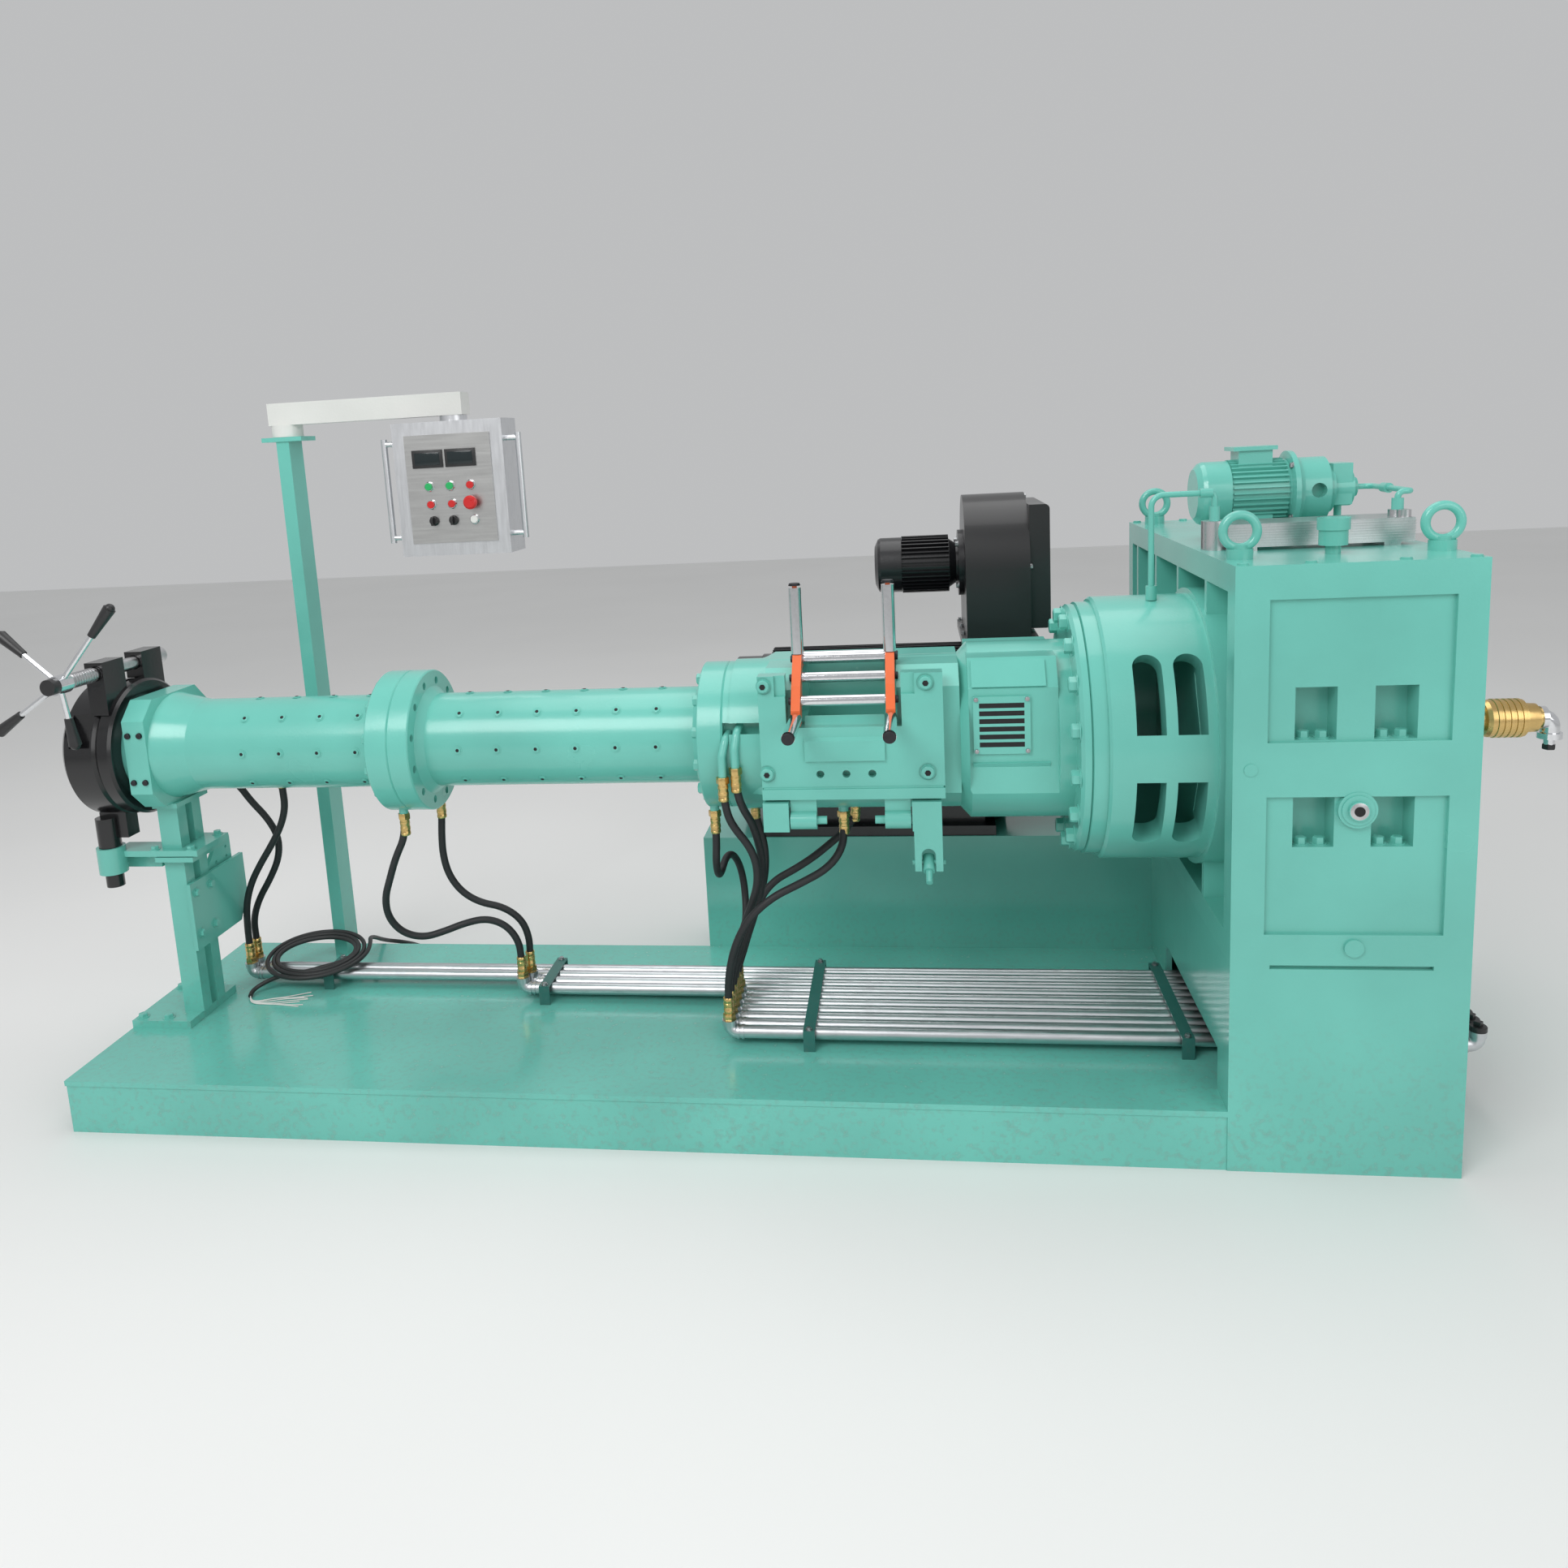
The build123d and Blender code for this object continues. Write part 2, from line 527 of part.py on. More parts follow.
# Lubrication set on the gearbox lid.
def eye_bolts():
    bolts = []
    for x, y in ((1250, -262), (1672, -242), (1265, 765), (1660, 765)):
        ring = Pos(x, y, GEARBOX_TOP + 60) * Rot(90, 0, 0) * Torus(36, 10)
        ring += rod_z(x, y, GEARBOX_TOP, GEARBOX_TOP + 22, 28)
        bolts.append(ring + rod_z(x, y, GEARBOX_TOP, GEARBOX_TOP + 30, 17))
    return joined(bolts)


LUBE_Y = 200
LUBE_Z = 1500


def lube_motor():
    body = turned([(1251, 62), (1262, 76), (1272, 80), (1330, 80), (1330, 72), (1465, 72),
                   (1470, 78), (1474, 98),
                   (1486, 98)], LUBE_Y, LUBE_Z)
    body += block(1352, 1432, LUBE_Y - 40, LUBE_Y + 40, LUBE_Z + 60, LUBE_Z + 104)
    body += block(1338, 1442, LUBE_Y - 48, LUBE_Y + 48, LUBE_Z + 104, LUBE_Z + 114)
    body += block(1340, 1440, LUBE_Y - 70, LUBE_Y + 70, GEARBOX_TOP, GEARBOX_TOP + 12)
    for y in (LUBE_Y - 58, LUBE_Y + 46):
        body += block(1350, 1430, y, y + 12, GEARBOX_TOP + 12, LUBE_Z - 30)
    return body


# Gear pump behind a short bell with a round window.
def lube_pump():
    body = turned([(1486, 86), (1500, 80), (1562, 80), (1566, 60), (1578, 60), (1578, 46), (1626, 46),
                   (1626, 24), (1640, 24)], LUBE_Y, LUBE_Z)
    body -= rod_y(1532, LUBE_Y - 81, LUBE_Y - 50, LUBE_Z, 18)
    body += block(1574, 1620, LUBE_Y - 44, LUBE_Y + 44, LUBE_Z - 40, LUBE_Z + 62)
    return body + rod_z(1600, LUBE_Y, GEARBOX_TOP, LUBE_Z - 40, 9)


COOLER_Y = -48
COOLER_TOP = GEARBOX_TOP + 62
COOLER_PORTS = (1247, 1650)


# Plate cooler on two feet, with an upright port at each end.
def plate_cooler():
    body = block(1262, 1665, -115, 20, GEARBOX_TOP + 8, COOLER_TOP)
    body += rod_z(COOLER_PORTS[0], COOLER_Y, GEARBOX_TOP, COOLER_TOP + 6, 30)
    body += block(1262, 1290, -60, -36, GEARBOX_TOP + 8, COOLER_TOP)
    body += rod_z(COOLER_PORTS[1], COOLER_Y, COOLER_TOP, COOLER_TOP + 14, 20)
    body += rod_z(1648, -92, COOLER_TOP, COOLER_TOP + 16, 15)
    for x in (1290, 1600):
        body += block(x, x + 36, -115, 20, GEARBOX_TOP, GEARBOX_TOP + 8)
    return body


def breather():
    body = rod_z(1456, -222, GEARBOX_TOP, GEARBOX_TOP + 18, 16)
    body += rod_z(1456, -222, GEARBOX_TOP + 18, GEARBOX_TOP + 52, 30)
    return body + rod_z(1456, -222, GEARBOX_TOP + 52, GEARBOX_TOP + 78, 34)


# Oil pipes: one from the cooler's left port down to the drum, one from the pump to its right port.
def oil_pipe():
    left, right = COOLER_PORTS
    drum_top = SCREW_Z + (DRUM_R ** 2 - COOLER_Y ** 2) ** 0.5
    feed = tube([(left, COOLER_Y, COOLER_TOP + 6), (left, COOLER_Y, 1517), (1103, COOLER_Y, 1517),
                 (1103, COOLER_Y, drum_top)], 7, [14, 28])
    feed += rod_z(left, COOLER_Y, COOLER_TOP + 6, COOLER_TOP + 40, 12)
    feed += rod_x(left - 34, left - 6, COOLER_Y, 1517, 11)
    feed += rod_z(1103, COOLER_Y, drum_top, drum_top + 34, 13)
    feed -= rod_x(1080, 1126, 0, SCREW_Z, DRUM_R)
    back = tube([(1640, LUBE_Y, LUBE_Z), (1680, LUBE_Y, LUBE_Z), (1680, COOLER_Y, LUBE_Z),
                 (right, COOLER_Y, LUBE_Z), (right, COOLER_Y, COOLER_TOP + 14)], 7, [22, 14, 14])
    back += rod_y(1680, 90, 124, LUBE_Z, 12) + rod_z(right, COOLER_Y, COOLER_TOP + 14, COOLER_TOP + 40, 13)
    return feed + back


# Rotary water joint on the rear end of the screw.
def rotary_joint():
    return turned([(BASE_RIGHT, 30), (1872, 30), (1872, 41), (1881, 45), (1960, 45), (1962, 36),
                   (1990, 34), (1990, 24), (2000, 24)])


def rotary_elbow():
    bend = tube([(2000, 0, SCREW_Z), (2024, 0, SCREW_Z), (2024, 0, SCREW_Z - 50)], 21, 22)
    bend += rod_x(2000, 2012, 0, SCREW_Z, 27) + rod_z(2024, 0, SCREW_Z - 50, SCREW_Z - 36, 27)
    return bend + rod_z(2024, 0, SCREW_Z - 68, SCREW_Z - 50, 12)


# Water pipes along the bedplate. Each has an elbow at its left end that turns up to a hose, with a
# collar at both ends of the elbow, and another elbow outside the gearbox base.
PIPE_ENDS = [30] * 6 + [-607, -594, -1494, -1493]
PIPE_OUTLET = 1838
ELBOW_TOP = 214
COLLAR_R = 19.2


def water_pipes():
    pipes = []
    for y, x in zip(PIPE_ROWS, PIPE_ENDS):
        pipe = tube([(x, y, ELBOW_TOP), (x, y, PIPE_Z), (PIPE_OUTLET, y, PIPE_Z),
                     (PIPE_OUTLET, y, ELBOW_TOP)], PIPE_R, [20, 20])
        for collar_x in (x + 20, x + 32, PIPE_OUTLET - 30):
            pipe += rod_x(collar_x, collar_x + 6, y, PIPE_Z, COLLAR_R)
        pipe += rod_z(x, y, ELBOW_TOP - 12, ELBOW_TOP, COLLAR_R)
        pipes.append(pipe + rod_z(PIPE_OUTLET, y, ELBOW_TOP - 12, ELBOW_TOP + 2, COLLAR_R))
    return joined(pipes)


def pipe_clamps():
    bars = []
    for x, first in ((240, 0), (1170, 0), (-535, 6), (-1230, 8)):
        y0 = PIPE_ROWS[first] - 38
        y1 = PIPE_ROWS[-1] + 38
        z = PIPE_Z + PIPE_R
        strap = block(x - 15, x + 15, y0, y1, z, z + 5)
        strap += block(x - 15, x + 15, y0, y0 + 5, BASE_HEIGHT, z + 5)
        bars.append(strap + block(x - 15, x + 15, y1 - 5, y1, BASE_HEIGHT, z + 5))
    return joined(bars)


# Control panel on a swinging arm.
POST_X = -1309
POST_Y = 423
ARM_Z = 1850
PANEL_X_MID = -785


def control_post():
    post = block(POST_X - 20, POST_X + 20, POST_Y - 40, POST_Y + 40, BASE_HEIGHT, 1772)
    return post + block(POST_X - 63, POST_X + 63, POST_Y - 45, POST_Y + 45, 1772, 1785)


def control_arm():
    body = rod_z(POST_X, POST_Y, 1785.5, 1820, 45)
    return body + block(POST_X - 40, PANEL_X_MID + 40, POST_Y - 35, POST_Y + 35, 1820, 1885)


def panel_case():
    case = block(PANEL_X_MID - 167, PANEL_X_MID + 167, POST_Y - 70, POST_Y + 60, 1415, 1803)
    return case + rod_z(PANEL_X_MID, POST_Y, 1803, 1819.5, 40)


def panel_face():
    return block(PANEL_X_MID - 130, PANEL_X_MID + 130, POST_Y - 74, POST_Y - 70, 1452, 1766)


def panel_handles():
    handles = []
    for side in (-1, 1):
        x = PANEL_X_MID + side * 205
        handle = rod_z(x, POST_Y - 40, 1455, 1760, 9)
        for z in (1470, 1745):
            handle += rod_x(min(x, x - side * 38), max(x, x - side * 38), POST_Y - 40, z, 8)
        handles.append(handle)
    return joined(handles)


# Hoses and the cable. Their corners are rounded by tangent arcs; each arc takes nearly half of the
# shorter run beside it.
HOSE_R = 10
CABLE_R = 6.5
HOSES = {
    "hose_door": [
        (30, -140, 214), (30, -140, 272), (37, -149, 344), (60, -162, 430), (101, -168, 505),
        (162, -162, 558), (236, -136, 586), (300, -106, 612), (337, -80, 652), (345, -60, 700),
        (345, -60, 752)],
    "hose_shoulder_left": [
        (30, -100.5, 214), (30, -100.5, 267), (37, -101, 320), (50, -106, 375), (68, -113, 430),
        (88, -120, 485), (108, -130, 535), (123, -140, 583), (126, -150, 630), (120, -160, 670),
        (105, -168, 705), (84, -176, 737), (68, -186, 771), (62, -196, 809), (60, -203, 848),
        (60, -203, 886)],
    "hose_shoulder_right": [
        (30, -61, 214), (30, -61, 261), (38, -61, 308), (56, -63, 354), (72, -66, 401),
        (92, -70, 453), (111, -76, 505), (125, -84, 552), (133, -98, 606), (134, -118, 657),
        (129, -140, 708), (121, -164, 756), (106, -184, 793), (96, -197, 831), (93, -203, 870),
        (93, -203, 909)],
    "hose_housing_right": [
        (30, -21.5, 214), (30, -21.5, 258), (36, -21, 302), (48, -17, 344), (65, -15, 388),
        (83, -11, 433), (103, -6, 477), (124, 0, 513), (155, 8, 542), (192, 16, 560),
        (231, 25, 581), (268, 33, 605), (334, 46, 657), (357, 51, 686), (369, 54, 716),
        (372, 55, 749)],
    "hose_housing_left": [
        (30, 18, 214), (30, 18, 270), (50, 21, 326), (65, 26, 373), (82, 32, 419), (97, 38, 464),
        (111, 45, 507), (120, 50, 551), (122, 55, 596), (117, 58, 640), (105, 60, 681),
        (100, 60, 722), (100, 60, 757)],
    "hose_flange": [
        (30, 57.5, 214), (30, 57.5, 262), (34, 72, 306), (42, 99, 344), (45, 141, 377),
        (42, 174, 416), (38, 188, 460), (31, 188, 507), (22, 166, 547), (14, 126, 572),
        (7, 80, 575), (3, 38, 556), (3, -8, 559), (5, -47, 584), (8, -71, 624), (12, -72, 671),
        (12, -70, 717), (12, -70, 760)],
    "hose_middle_left": [
        (-607, 97, 214), (-607, 97, 267), (-609, 95, 324), (-640, 88, 375), (-692, 76, 400),
        (-752, 62, 391), (-808, 46, 373), (-864, 26, 362), (-915, 5, 385), (-943, -15, 438),
        (-938, -34, 503), (-910, -48, 566), (-883, -56, 630), (-844, -60, 698), (-844, -60, 757)],
    "hose_middle_right": [
        (-594, 136.5, 214), (-594, 136.5, 263), (-591, 134, 321), (-608, 128, 377),
        (-656, 118, 418), (-718, 108, 434), (-766, 98, 469), (-796, 88, 523), (-805, 80, 587),
        (-801, 76, 651), (-794, 75, 711), (-794, 75, 762)],
    "hose_column_left": [
        (-1494, 176, 214), (-1494, 176, 274), (-1489, 170, 342), (-1476, 160, 411),
        (-1446, 150, 479), (-1403, 140, 541), (-1354, 130, 603), (-1311, 120, 664),
        (-1285, 112, 726), (-1281, 100, 789), (-1281, 100, 849)],
    "hose_column_right": [
        (-1493, 215.5, 214), (-1493, 215.5, 274), (-1490, 208, 339), (-1457, 198, 409),
        (-1406, 188, 477), (-1363, 178, 548), (-1351, 168, 617), (-1374, 158, 679),
        (-1411, 146, 733), (-1434, 131, 788), (-1470, 124, 820), (-1502, 122.5, 829)],
}
CABLE_LEAD = [
    (-1085, 489, 88), (-1085, 532.8, 88), (-1109.5, 566.4, 90), (-1149, 579.3, 98),
    (-1188.5, 566.4, 112), (-1213, 532.8, 130), (-1213, 490, 152), (-1210, 450, 174),
    (-1203, 410, 195), (-1193, 370, 213), (-1181, 332, 226), (-1169, 292, 232)]
CABLE_TAIL = [(-1453, 178, 214), (-1455, 150, 207), (-1455, 126, 190), (-1449, 106, 170), (-1436, 86, 155)]


def cord(points, r):
    bends = []
    for a, b, c in zip(points, points[1:], points[2:]):
        before, after = Vector(b) - Vector(a), Vector(c) - Vector(b)
        half = radians(before.get_angle(after)) / 2
        bends.append(0.45 * min(before.length, after.length) / tan(half))
    print("least bend radius", round(min(bends)), "mm on a cord of radius", r)
    return tube(points, r, bends)


# Coil of spare cable that lies tilted on the two outer pipes and one clamp.
COIL_Y = 190
COIL_Z = 217
COIL_SLOPE = 0.15
COIL_OUTER = [
    (-1463, 160), (-1470, 211), (-1468, 273), (-1435, 332), (-1381, 361), (-1324, 372), (-1251, 363),
    (-1188, 328), (-1147, 272), (-1131, 216), (-1139, 162), (-1178, 120), (-1232, 87), (-1301, 71),
    (-1373, 84), (-1431, 120)]
COIL_INNER = [
    (-1406, 160), (-1405, 210), (-1380, 267), (-1327, 295), (-1258, 293), (-1209, 274), (-1190, 235),
    (-1210, 191), (-1256, 163), (-1305, 143), (-1365, 145)]


def cable_coil():
    lie = Plane(origin=(0, COIL_Y, COIL_Z), x_dir=(1, 0, 0), z_dir=(0, -COIL_SLOPE, 1))
    slant = (1 + COIL_SLOPE ** 2) ** 0.5
    rings = []
    for outline in (COIL_OUTER, COIL_INNER):
        rings.append(make_face(Spline(*[(x, (y - COIL_Y) * slant) for x, y in outline], periodic=True)))
    return lie * (Pos(0, 0, -CABLE_R) * extrude(rings[0] - rings[1], amount=3 * CABLE_R))


save("base_frame", base_frame())
save("gearbox_base", gearbox_base())
save("motor_pedestal", motor_pedestal())
save("gearbox_housing", gearbox_housing())
save("adapter_drum", adapter_drum())
save("adapter_flange", adapter_flange())
save("feed_housing", feed_housing())
save("barrel_rear", barrel_rear())
save("barrel_front", barrel_front())
save("head_body", head_body())
save("head_clamp", head_clamp())
save("clamp_spindle", clamp_spindle())
save("capstan", capstan())
save("capstan_grips", capstan_grips())
save("hinge_bracket", hinge_bracket())
save("hinge_pin", hinge_pin())
save("column", column())
save("column_saddle", column_saddle())
save("main_motor", main_motor())
save("blower_housing", blower_housing())
save("blower_motor", blower_motor())
save("feed_door", feed_door())
save("vent_cover", vent_cover())
save("guide_frame", guide_frame())
save_rollers()
save("eye_bolts", eye_bolts())
save("lube_motor", lube_motor())
save("lube_pump", lube_pump())
save("plate_cooler", plate_cooler())
save("breather", breather())
save("oil_pipe", oil_pipe())
save("rotary_joint", rotary_joint())
save("rotary_elbow", rotary_elbow())
save("water_pipes", water_pipes())
save("pipe_clamps", pipe_clamps())
save("control_post", control_post())
save("control_arm", control_arm())
save("panel_case", panel_case())
save("panel_face", panel_face())
save("panel_handles", panel_handles())
for name, points in HOSES.items():
    save(name, cord(points, HOSE_R))
save("cable_lead", cord(CABLE_LEAD, CABLE_R))
save("cable_coil", cable_coil())
save("cable_tail", cord(CABLE_TAIL, CABLE_R))
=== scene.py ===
import math

import bmesh
import bpy
from mathutils import Matrix, Vector


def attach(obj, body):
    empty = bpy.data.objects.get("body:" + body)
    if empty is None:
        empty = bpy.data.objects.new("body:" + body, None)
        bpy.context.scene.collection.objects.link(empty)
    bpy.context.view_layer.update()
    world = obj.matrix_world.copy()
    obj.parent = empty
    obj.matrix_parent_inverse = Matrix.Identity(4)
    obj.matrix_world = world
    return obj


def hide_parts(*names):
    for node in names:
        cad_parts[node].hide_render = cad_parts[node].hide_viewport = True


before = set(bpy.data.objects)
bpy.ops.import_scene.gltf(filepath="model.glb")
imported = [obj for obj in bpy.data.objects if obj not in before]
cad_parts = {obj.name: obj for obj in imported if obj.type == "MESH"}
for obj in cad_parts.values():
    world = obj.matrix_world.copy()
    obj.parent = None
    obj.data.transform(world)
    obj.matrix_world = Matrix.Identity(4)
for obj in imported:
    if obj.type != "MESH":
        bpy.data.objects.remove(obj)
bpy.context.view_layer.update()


# Camera: a pinhole fitted to the photo. Its position is in metres in the part's frame, its rotation
# is given by where the picture's right, down and forward directions point, and the shifts place the
# optical axis off the middle of the picture.
CAMERA_AT = (0.5417, -3.0496, 1.7009)
TURN = (0.172674, 0.148549, -0.043438)
FOCAL_PX, CENTRE_PX, PHOTO_PX = 1491.36, (901.2, 797.2), 1932
SENSOR_MM = 36


def place_camera():
    angle = Vector(TURN).length
    turn = Matrix.Rotation(angle, 3, Vector(TURN))
    level = Matrix(((1, 0, 0), (0, 0, -1), (0, 1, 0)))
    right, down, forward = turn @ level
    pose = Matrix.Identity(4)
    for row in range(3):
        pose[row][0], pose[row][1], pose[row][2] = right[row], -down[row], -forward[row]
        pose[row][3] = CAMERA_AT[row]
    data = bpy.data.cameras.new("photo_camera")
    data.sensor_width = SENSOR_MM
    data.lens = SENSOR_MM * FOCAL_PX / PHOTO_PX
    data.shift_x = (PHOTO_PX / 2 - CENTRE_PX[0]) / PHOTO_PX
    data.shift_y = (CENTRE_PX[1] - PHOTO_PX / 2) / PHOTO_PX
    data.clip_end = 50
    camera = bpy.data.objects.new("photo_camera", data)
    camera.matrix_world = pose
    bpy.context.scene.collection.objects.link(camera)
    bpy.context.scene.camera = camera


place_camera()


# Painted castings and weldments: glossy enamel with a faint orange peel, a cloudy tone, and grey
# specks that thicken low on the machine. Value wraps a socket, so that shader maths reads as plain
# expressions, and Finish.node makes any other node. Every texture lies on Object coordinates.
class Value:
    def __init__(self, tree, socket):
        self.tree, self.socket = tree, socket

    def math(self, operation, first, second):
        node = self.tree.nodes.new("ShaderNodeMath")
        node.operation = operation
        for slot, value in zip(node.inputs, (first, second)):
            if isinstance(value, Value):
                self.tree.links.new(value.socket, slot)
            else:
                slot.default_value = value
        return Value(self.tree, node.outputs[0])

    def __add__(self, other):
        return self.math("ADD", self, other)

    def __rsub__(self, other):
        return self.math("SUBTRACT", other, self)

    def __mul__(self, other):
        return self.math("MULTIPLY", self, other)


class Finish:
    def __init__(self, name, roughness, metallic=0.0):
        self.material = bpy.data.materials.new(name)
        self.material.use_nodes = True
        self.tree = self.material.node_tree
        self.shader = self.tree.nodes["Principled BSDF"]
        self.shader.inputs["Roughness"].default_value = roughness
        self.shader.inputs["Metallic"].default_value = metallic
        self.place = self.node("ShaderNodeTexCoord", out="Object")

    def node(self, kind, settings=None, out=0, numbered=None, **named):
        """A node of any type, with its settings and its sockets, by number or by name."""
        node = self.tree.nodes.new(kind)
        for key, value in (settings or {}).items():
            setattr(node, key, value)
        sockets = dict(numbered or {})
        sockets.update((key.replace("_", " "), value) for key, value in named.items())
        for key, value in sockets.items():
            if isinstance(value, Value):
                self.tree.links.new(value.socket, node.inputs[key])
            else:
                node.inputs[key].default_value = value
        return Value(self.tree, node.outputs[out])

    def feed(self, name, value):
        self.tree.links.new(value.socket, self.shader.inputs[name])

    def noise(self, scale, detail=2.0, stretch=None):
        place = self.place
        if stretch:
            place = self.node("ShaderNodeMapping", Vector=place, Scale=stretch)
        return self.node("ShaderNodeTexNoise", Vector=place, Scale=scale, Detail=detail)

    def ramp(self, value, low, high):
        return self.node("ShaderNodeMapRange", Value=value, From_Min=low, From_Max=high)

    def blend(self, mask, dark, light):
        dark, light = (tone if isinstance(tone, Value) else (*tone, 1) for tone in (dark, light))
        return self.node("ShaderNodeMix", {"data_type": "RGBA"}, 2, {0: mask, 6: dark, 7: light})

    def bump(self, height, strength, distance):
        self.feed("Normal", self.node("ShaderNodeBump", Strength=strength, Distance=distance,
                                      Height=height))


def shade(colour, factor):
    return tuple(min(1.0, channel * factor) for channel in colour)


# Grey specks that thicken towards the bottom of the machine: full at the first height, none above the
# second.
LOW_SPECK_COLOUR, LOW_SPECK_FULL_Z, LOW_SPECK_NONE_Z = (0.2, 0.2, 0.18), 0.05, 0.42


def enamel(name, colour, roughness, peel=0.12, low_specks=0.5):
    finish = Finish(name, roughness)
    cloud = finish.ramp(finish.noise(scale=2.2, detail=4.0), low=0.35, high=0.68)
    tone = finish.blend(cloud, shade(colour, 0.9), shade(colour, 1.06))
    height = finish.node("ShaderNodeSeparateXYZ", out=2, Vector=finish.place)
    # A mask of grey specks, denser towards the bottom of the machine, which also makes the enamel
    # rougher.
    low = 1 - finish.ramp(height, LOW_SPECK_FULL_Z, LOW_SPECK_NONE_Z)
    specks = finish.ramp(finish.noise(scale=70, detail=8.0), low=0.5, high=0.85)
    low_speck_mask = low * specks * low_specks
    finish.feed("Base Color", finish.blend(low_speck_mask, tone, LOW_SPECK_COLOUR))
    uneven = finish.noise(scale=6, detail=3.0) * 0.12
    finish.feed("Roughness", uneven + (roughness - 0.06) + low_speck_mask * 0.35)
    finish.bump(finish.noise(scale=140, detail=1.0), strength=peel, distance=0.001)
    finish.shader.inputs["Coat Weight"].default_value = 0.25
    finish.shader.inputs["Coat Roughness"].default_value = 0.12
    return finish.material


def coat(material, *names):
    for name in names:
        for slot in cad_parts[name].material_slots:
            slot.material = material


TEAL = (0.15, 0.53, 0.45)
teal = enamel("teal_enamel", TEAL, roughness=0.2)
teal_rough = enamel("teal_casting_enamel", TEAL, roughness=0.25, peel=0.22)
black_enamel = enamel("black_enamel", (0.008, 0.008, 0.009), roughness=0.22, peel=0.15, low_specks=0.2)
motor_black = enamel("motor_enamel", (0.01, 0.01, 0.012), roughness=0.34, peel=0.3, low_specks=0.2)
sheet_black = enamel("sheet_enamel", (0.013, 0.013, 0.014), roughness=0.34, peel=0.1, low_specks=0.2)
orange = enamel("orange_enamel", (0.8, 0.14, 0.03), roughness=0.35, peel=0.15, low_specks=0.0)
clamp_green = enamel("dark_green_enamel", (0.03, 0.15, 0.13), roughness=0.4, peel=0.15, low_specks=0.3)
white_coat = enamel("white_powder_coat", (0.72, 0.73, 0.7), roughness=0.42, peel=0.3, low_specks=0.0)
coat(teal, "base_frame", "gearbox_base", "motor_pedestal", "column", "column_saddle", "feed_door",
     "adapter_flange", "vent_cover", "lube_motor", "lube_pump", "oil_pipe", "control_post",
     "breather", "hinge_bracket", "eye_bolts")
coat(teal_rough, "gearbox_housing", "adapter_drum", "feed_housing", "barrel_rear", "barrel_front")
coat(black_enamel, "head_body", "head_clamp", "hinge_pin")
coat(motor_black, "main_motor", "blower_motor")
coat(sheet_black, "blower_housing")
coat(orange, "guide_frame")
coat(clamp_green, "pipe_clamps")
coat(white_coat, "control_arm")


# Plated, turned and brushed parts: bare metal with a fine grain along one direction and light stains.
def metal(name, colour, roughness, stretch=(1, 1, 1), stain=0.15, grain=0.08):
    finish = Finish(name, roughness, metallic=1.0)
    lines = finish.noise(scale=160, detail=3.0, stretch=stretch)
    spots = finish.ramp(finish.noise(scale=22, detail=5.0), low=0.5, high=0.72)
    tone = finish.blend(lines, shade(colour, 0.86), shade(colour, 1.08))
    finish.feed("Base Color", finish.blend(spots * stain, tone, shade(colour, 0.45)))
    finish.feed("Roughness", lines * 0.14 + (roughness - 0.07) + spots * stain * 0.4)
    finish.bump(lines, strength=grain, distance=0.0006)
    return finish.material


chrome = metal("chrome_plate", (0.78, 0.79, 0.81), roughness=0.12, stain=0.05, grain=0.02)
zinc = metal("zinc_coat", (0.62, 0.64, 0.66), roughness=0.34, stretch=(0.1, 1, 1), stain=0.2,
             grain=0.12)
steel = metal("turned_steel", (0.62, 0.62, 0.63), roughness=0.3, stretch=(6, 1, 1), stain=0.3,
              grain=0.12)
brass = metal("brass", (0.72, 0.5, 0.2), roughness=0.28, stretch=(1, 1, 4), stain=0.3, grain=0.1)
aluminium = metal("anodised_aluminium", (0.74, 0.75, 0.77), roughness=0.36, stretch=(1, 1, 0.1),
                  stain=0.1, grain=0.08)
stainless = metal("brushed_stainless", (0.6, 0.6, 0.59), roughness=0.32, stretch=(0.05, 1, 1),
                  stain=0.1, grain=0.12)
ROLLERS = [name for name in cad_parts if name.startswith("guide_roller")]
coat(chrome, "capstan", "rotary_elbow", *ROLLERS)
coat(steel, "clamp_spindle", "plate_cooler")
coat(zinc, "water_pipes")
coat(brass, "rotary_joint")
coat(aluminium, "panel_case", "panel_handles")
coat(stainless, "panel_face")


# Grips of the capstan: black moulded plastic. Plastic and rubber are matt and finely pitted, with
# paler scuffs.
def moulded(name, colour, roughness, scuff=0.2, pits=0.2):
    finish = Finish(name, roughness)
    scuffs = finish.ramp(finish.noise(scale=30, detail=6.0), low=0.54, high=0.74) * scuff
    finish.feed("Base Color", finish.blend(scuffs, colour, shade(colour, 2.2)))
    uneven = finish.noise(scale=60, detail=2.0) * 0.16
    finish.feed("Roughness", uneven + (roughness - 0.08) + scuffs * 0.3)
    finish.bump(finish.noise(scale=500, detail=1.0), strength=pits, distance=0.0005)
    return finish.material


plastic = moulded("black_plastic", (0.02, 0.02, 0.021), roughness=0.38)
coat(plastic, "capstan_grips")


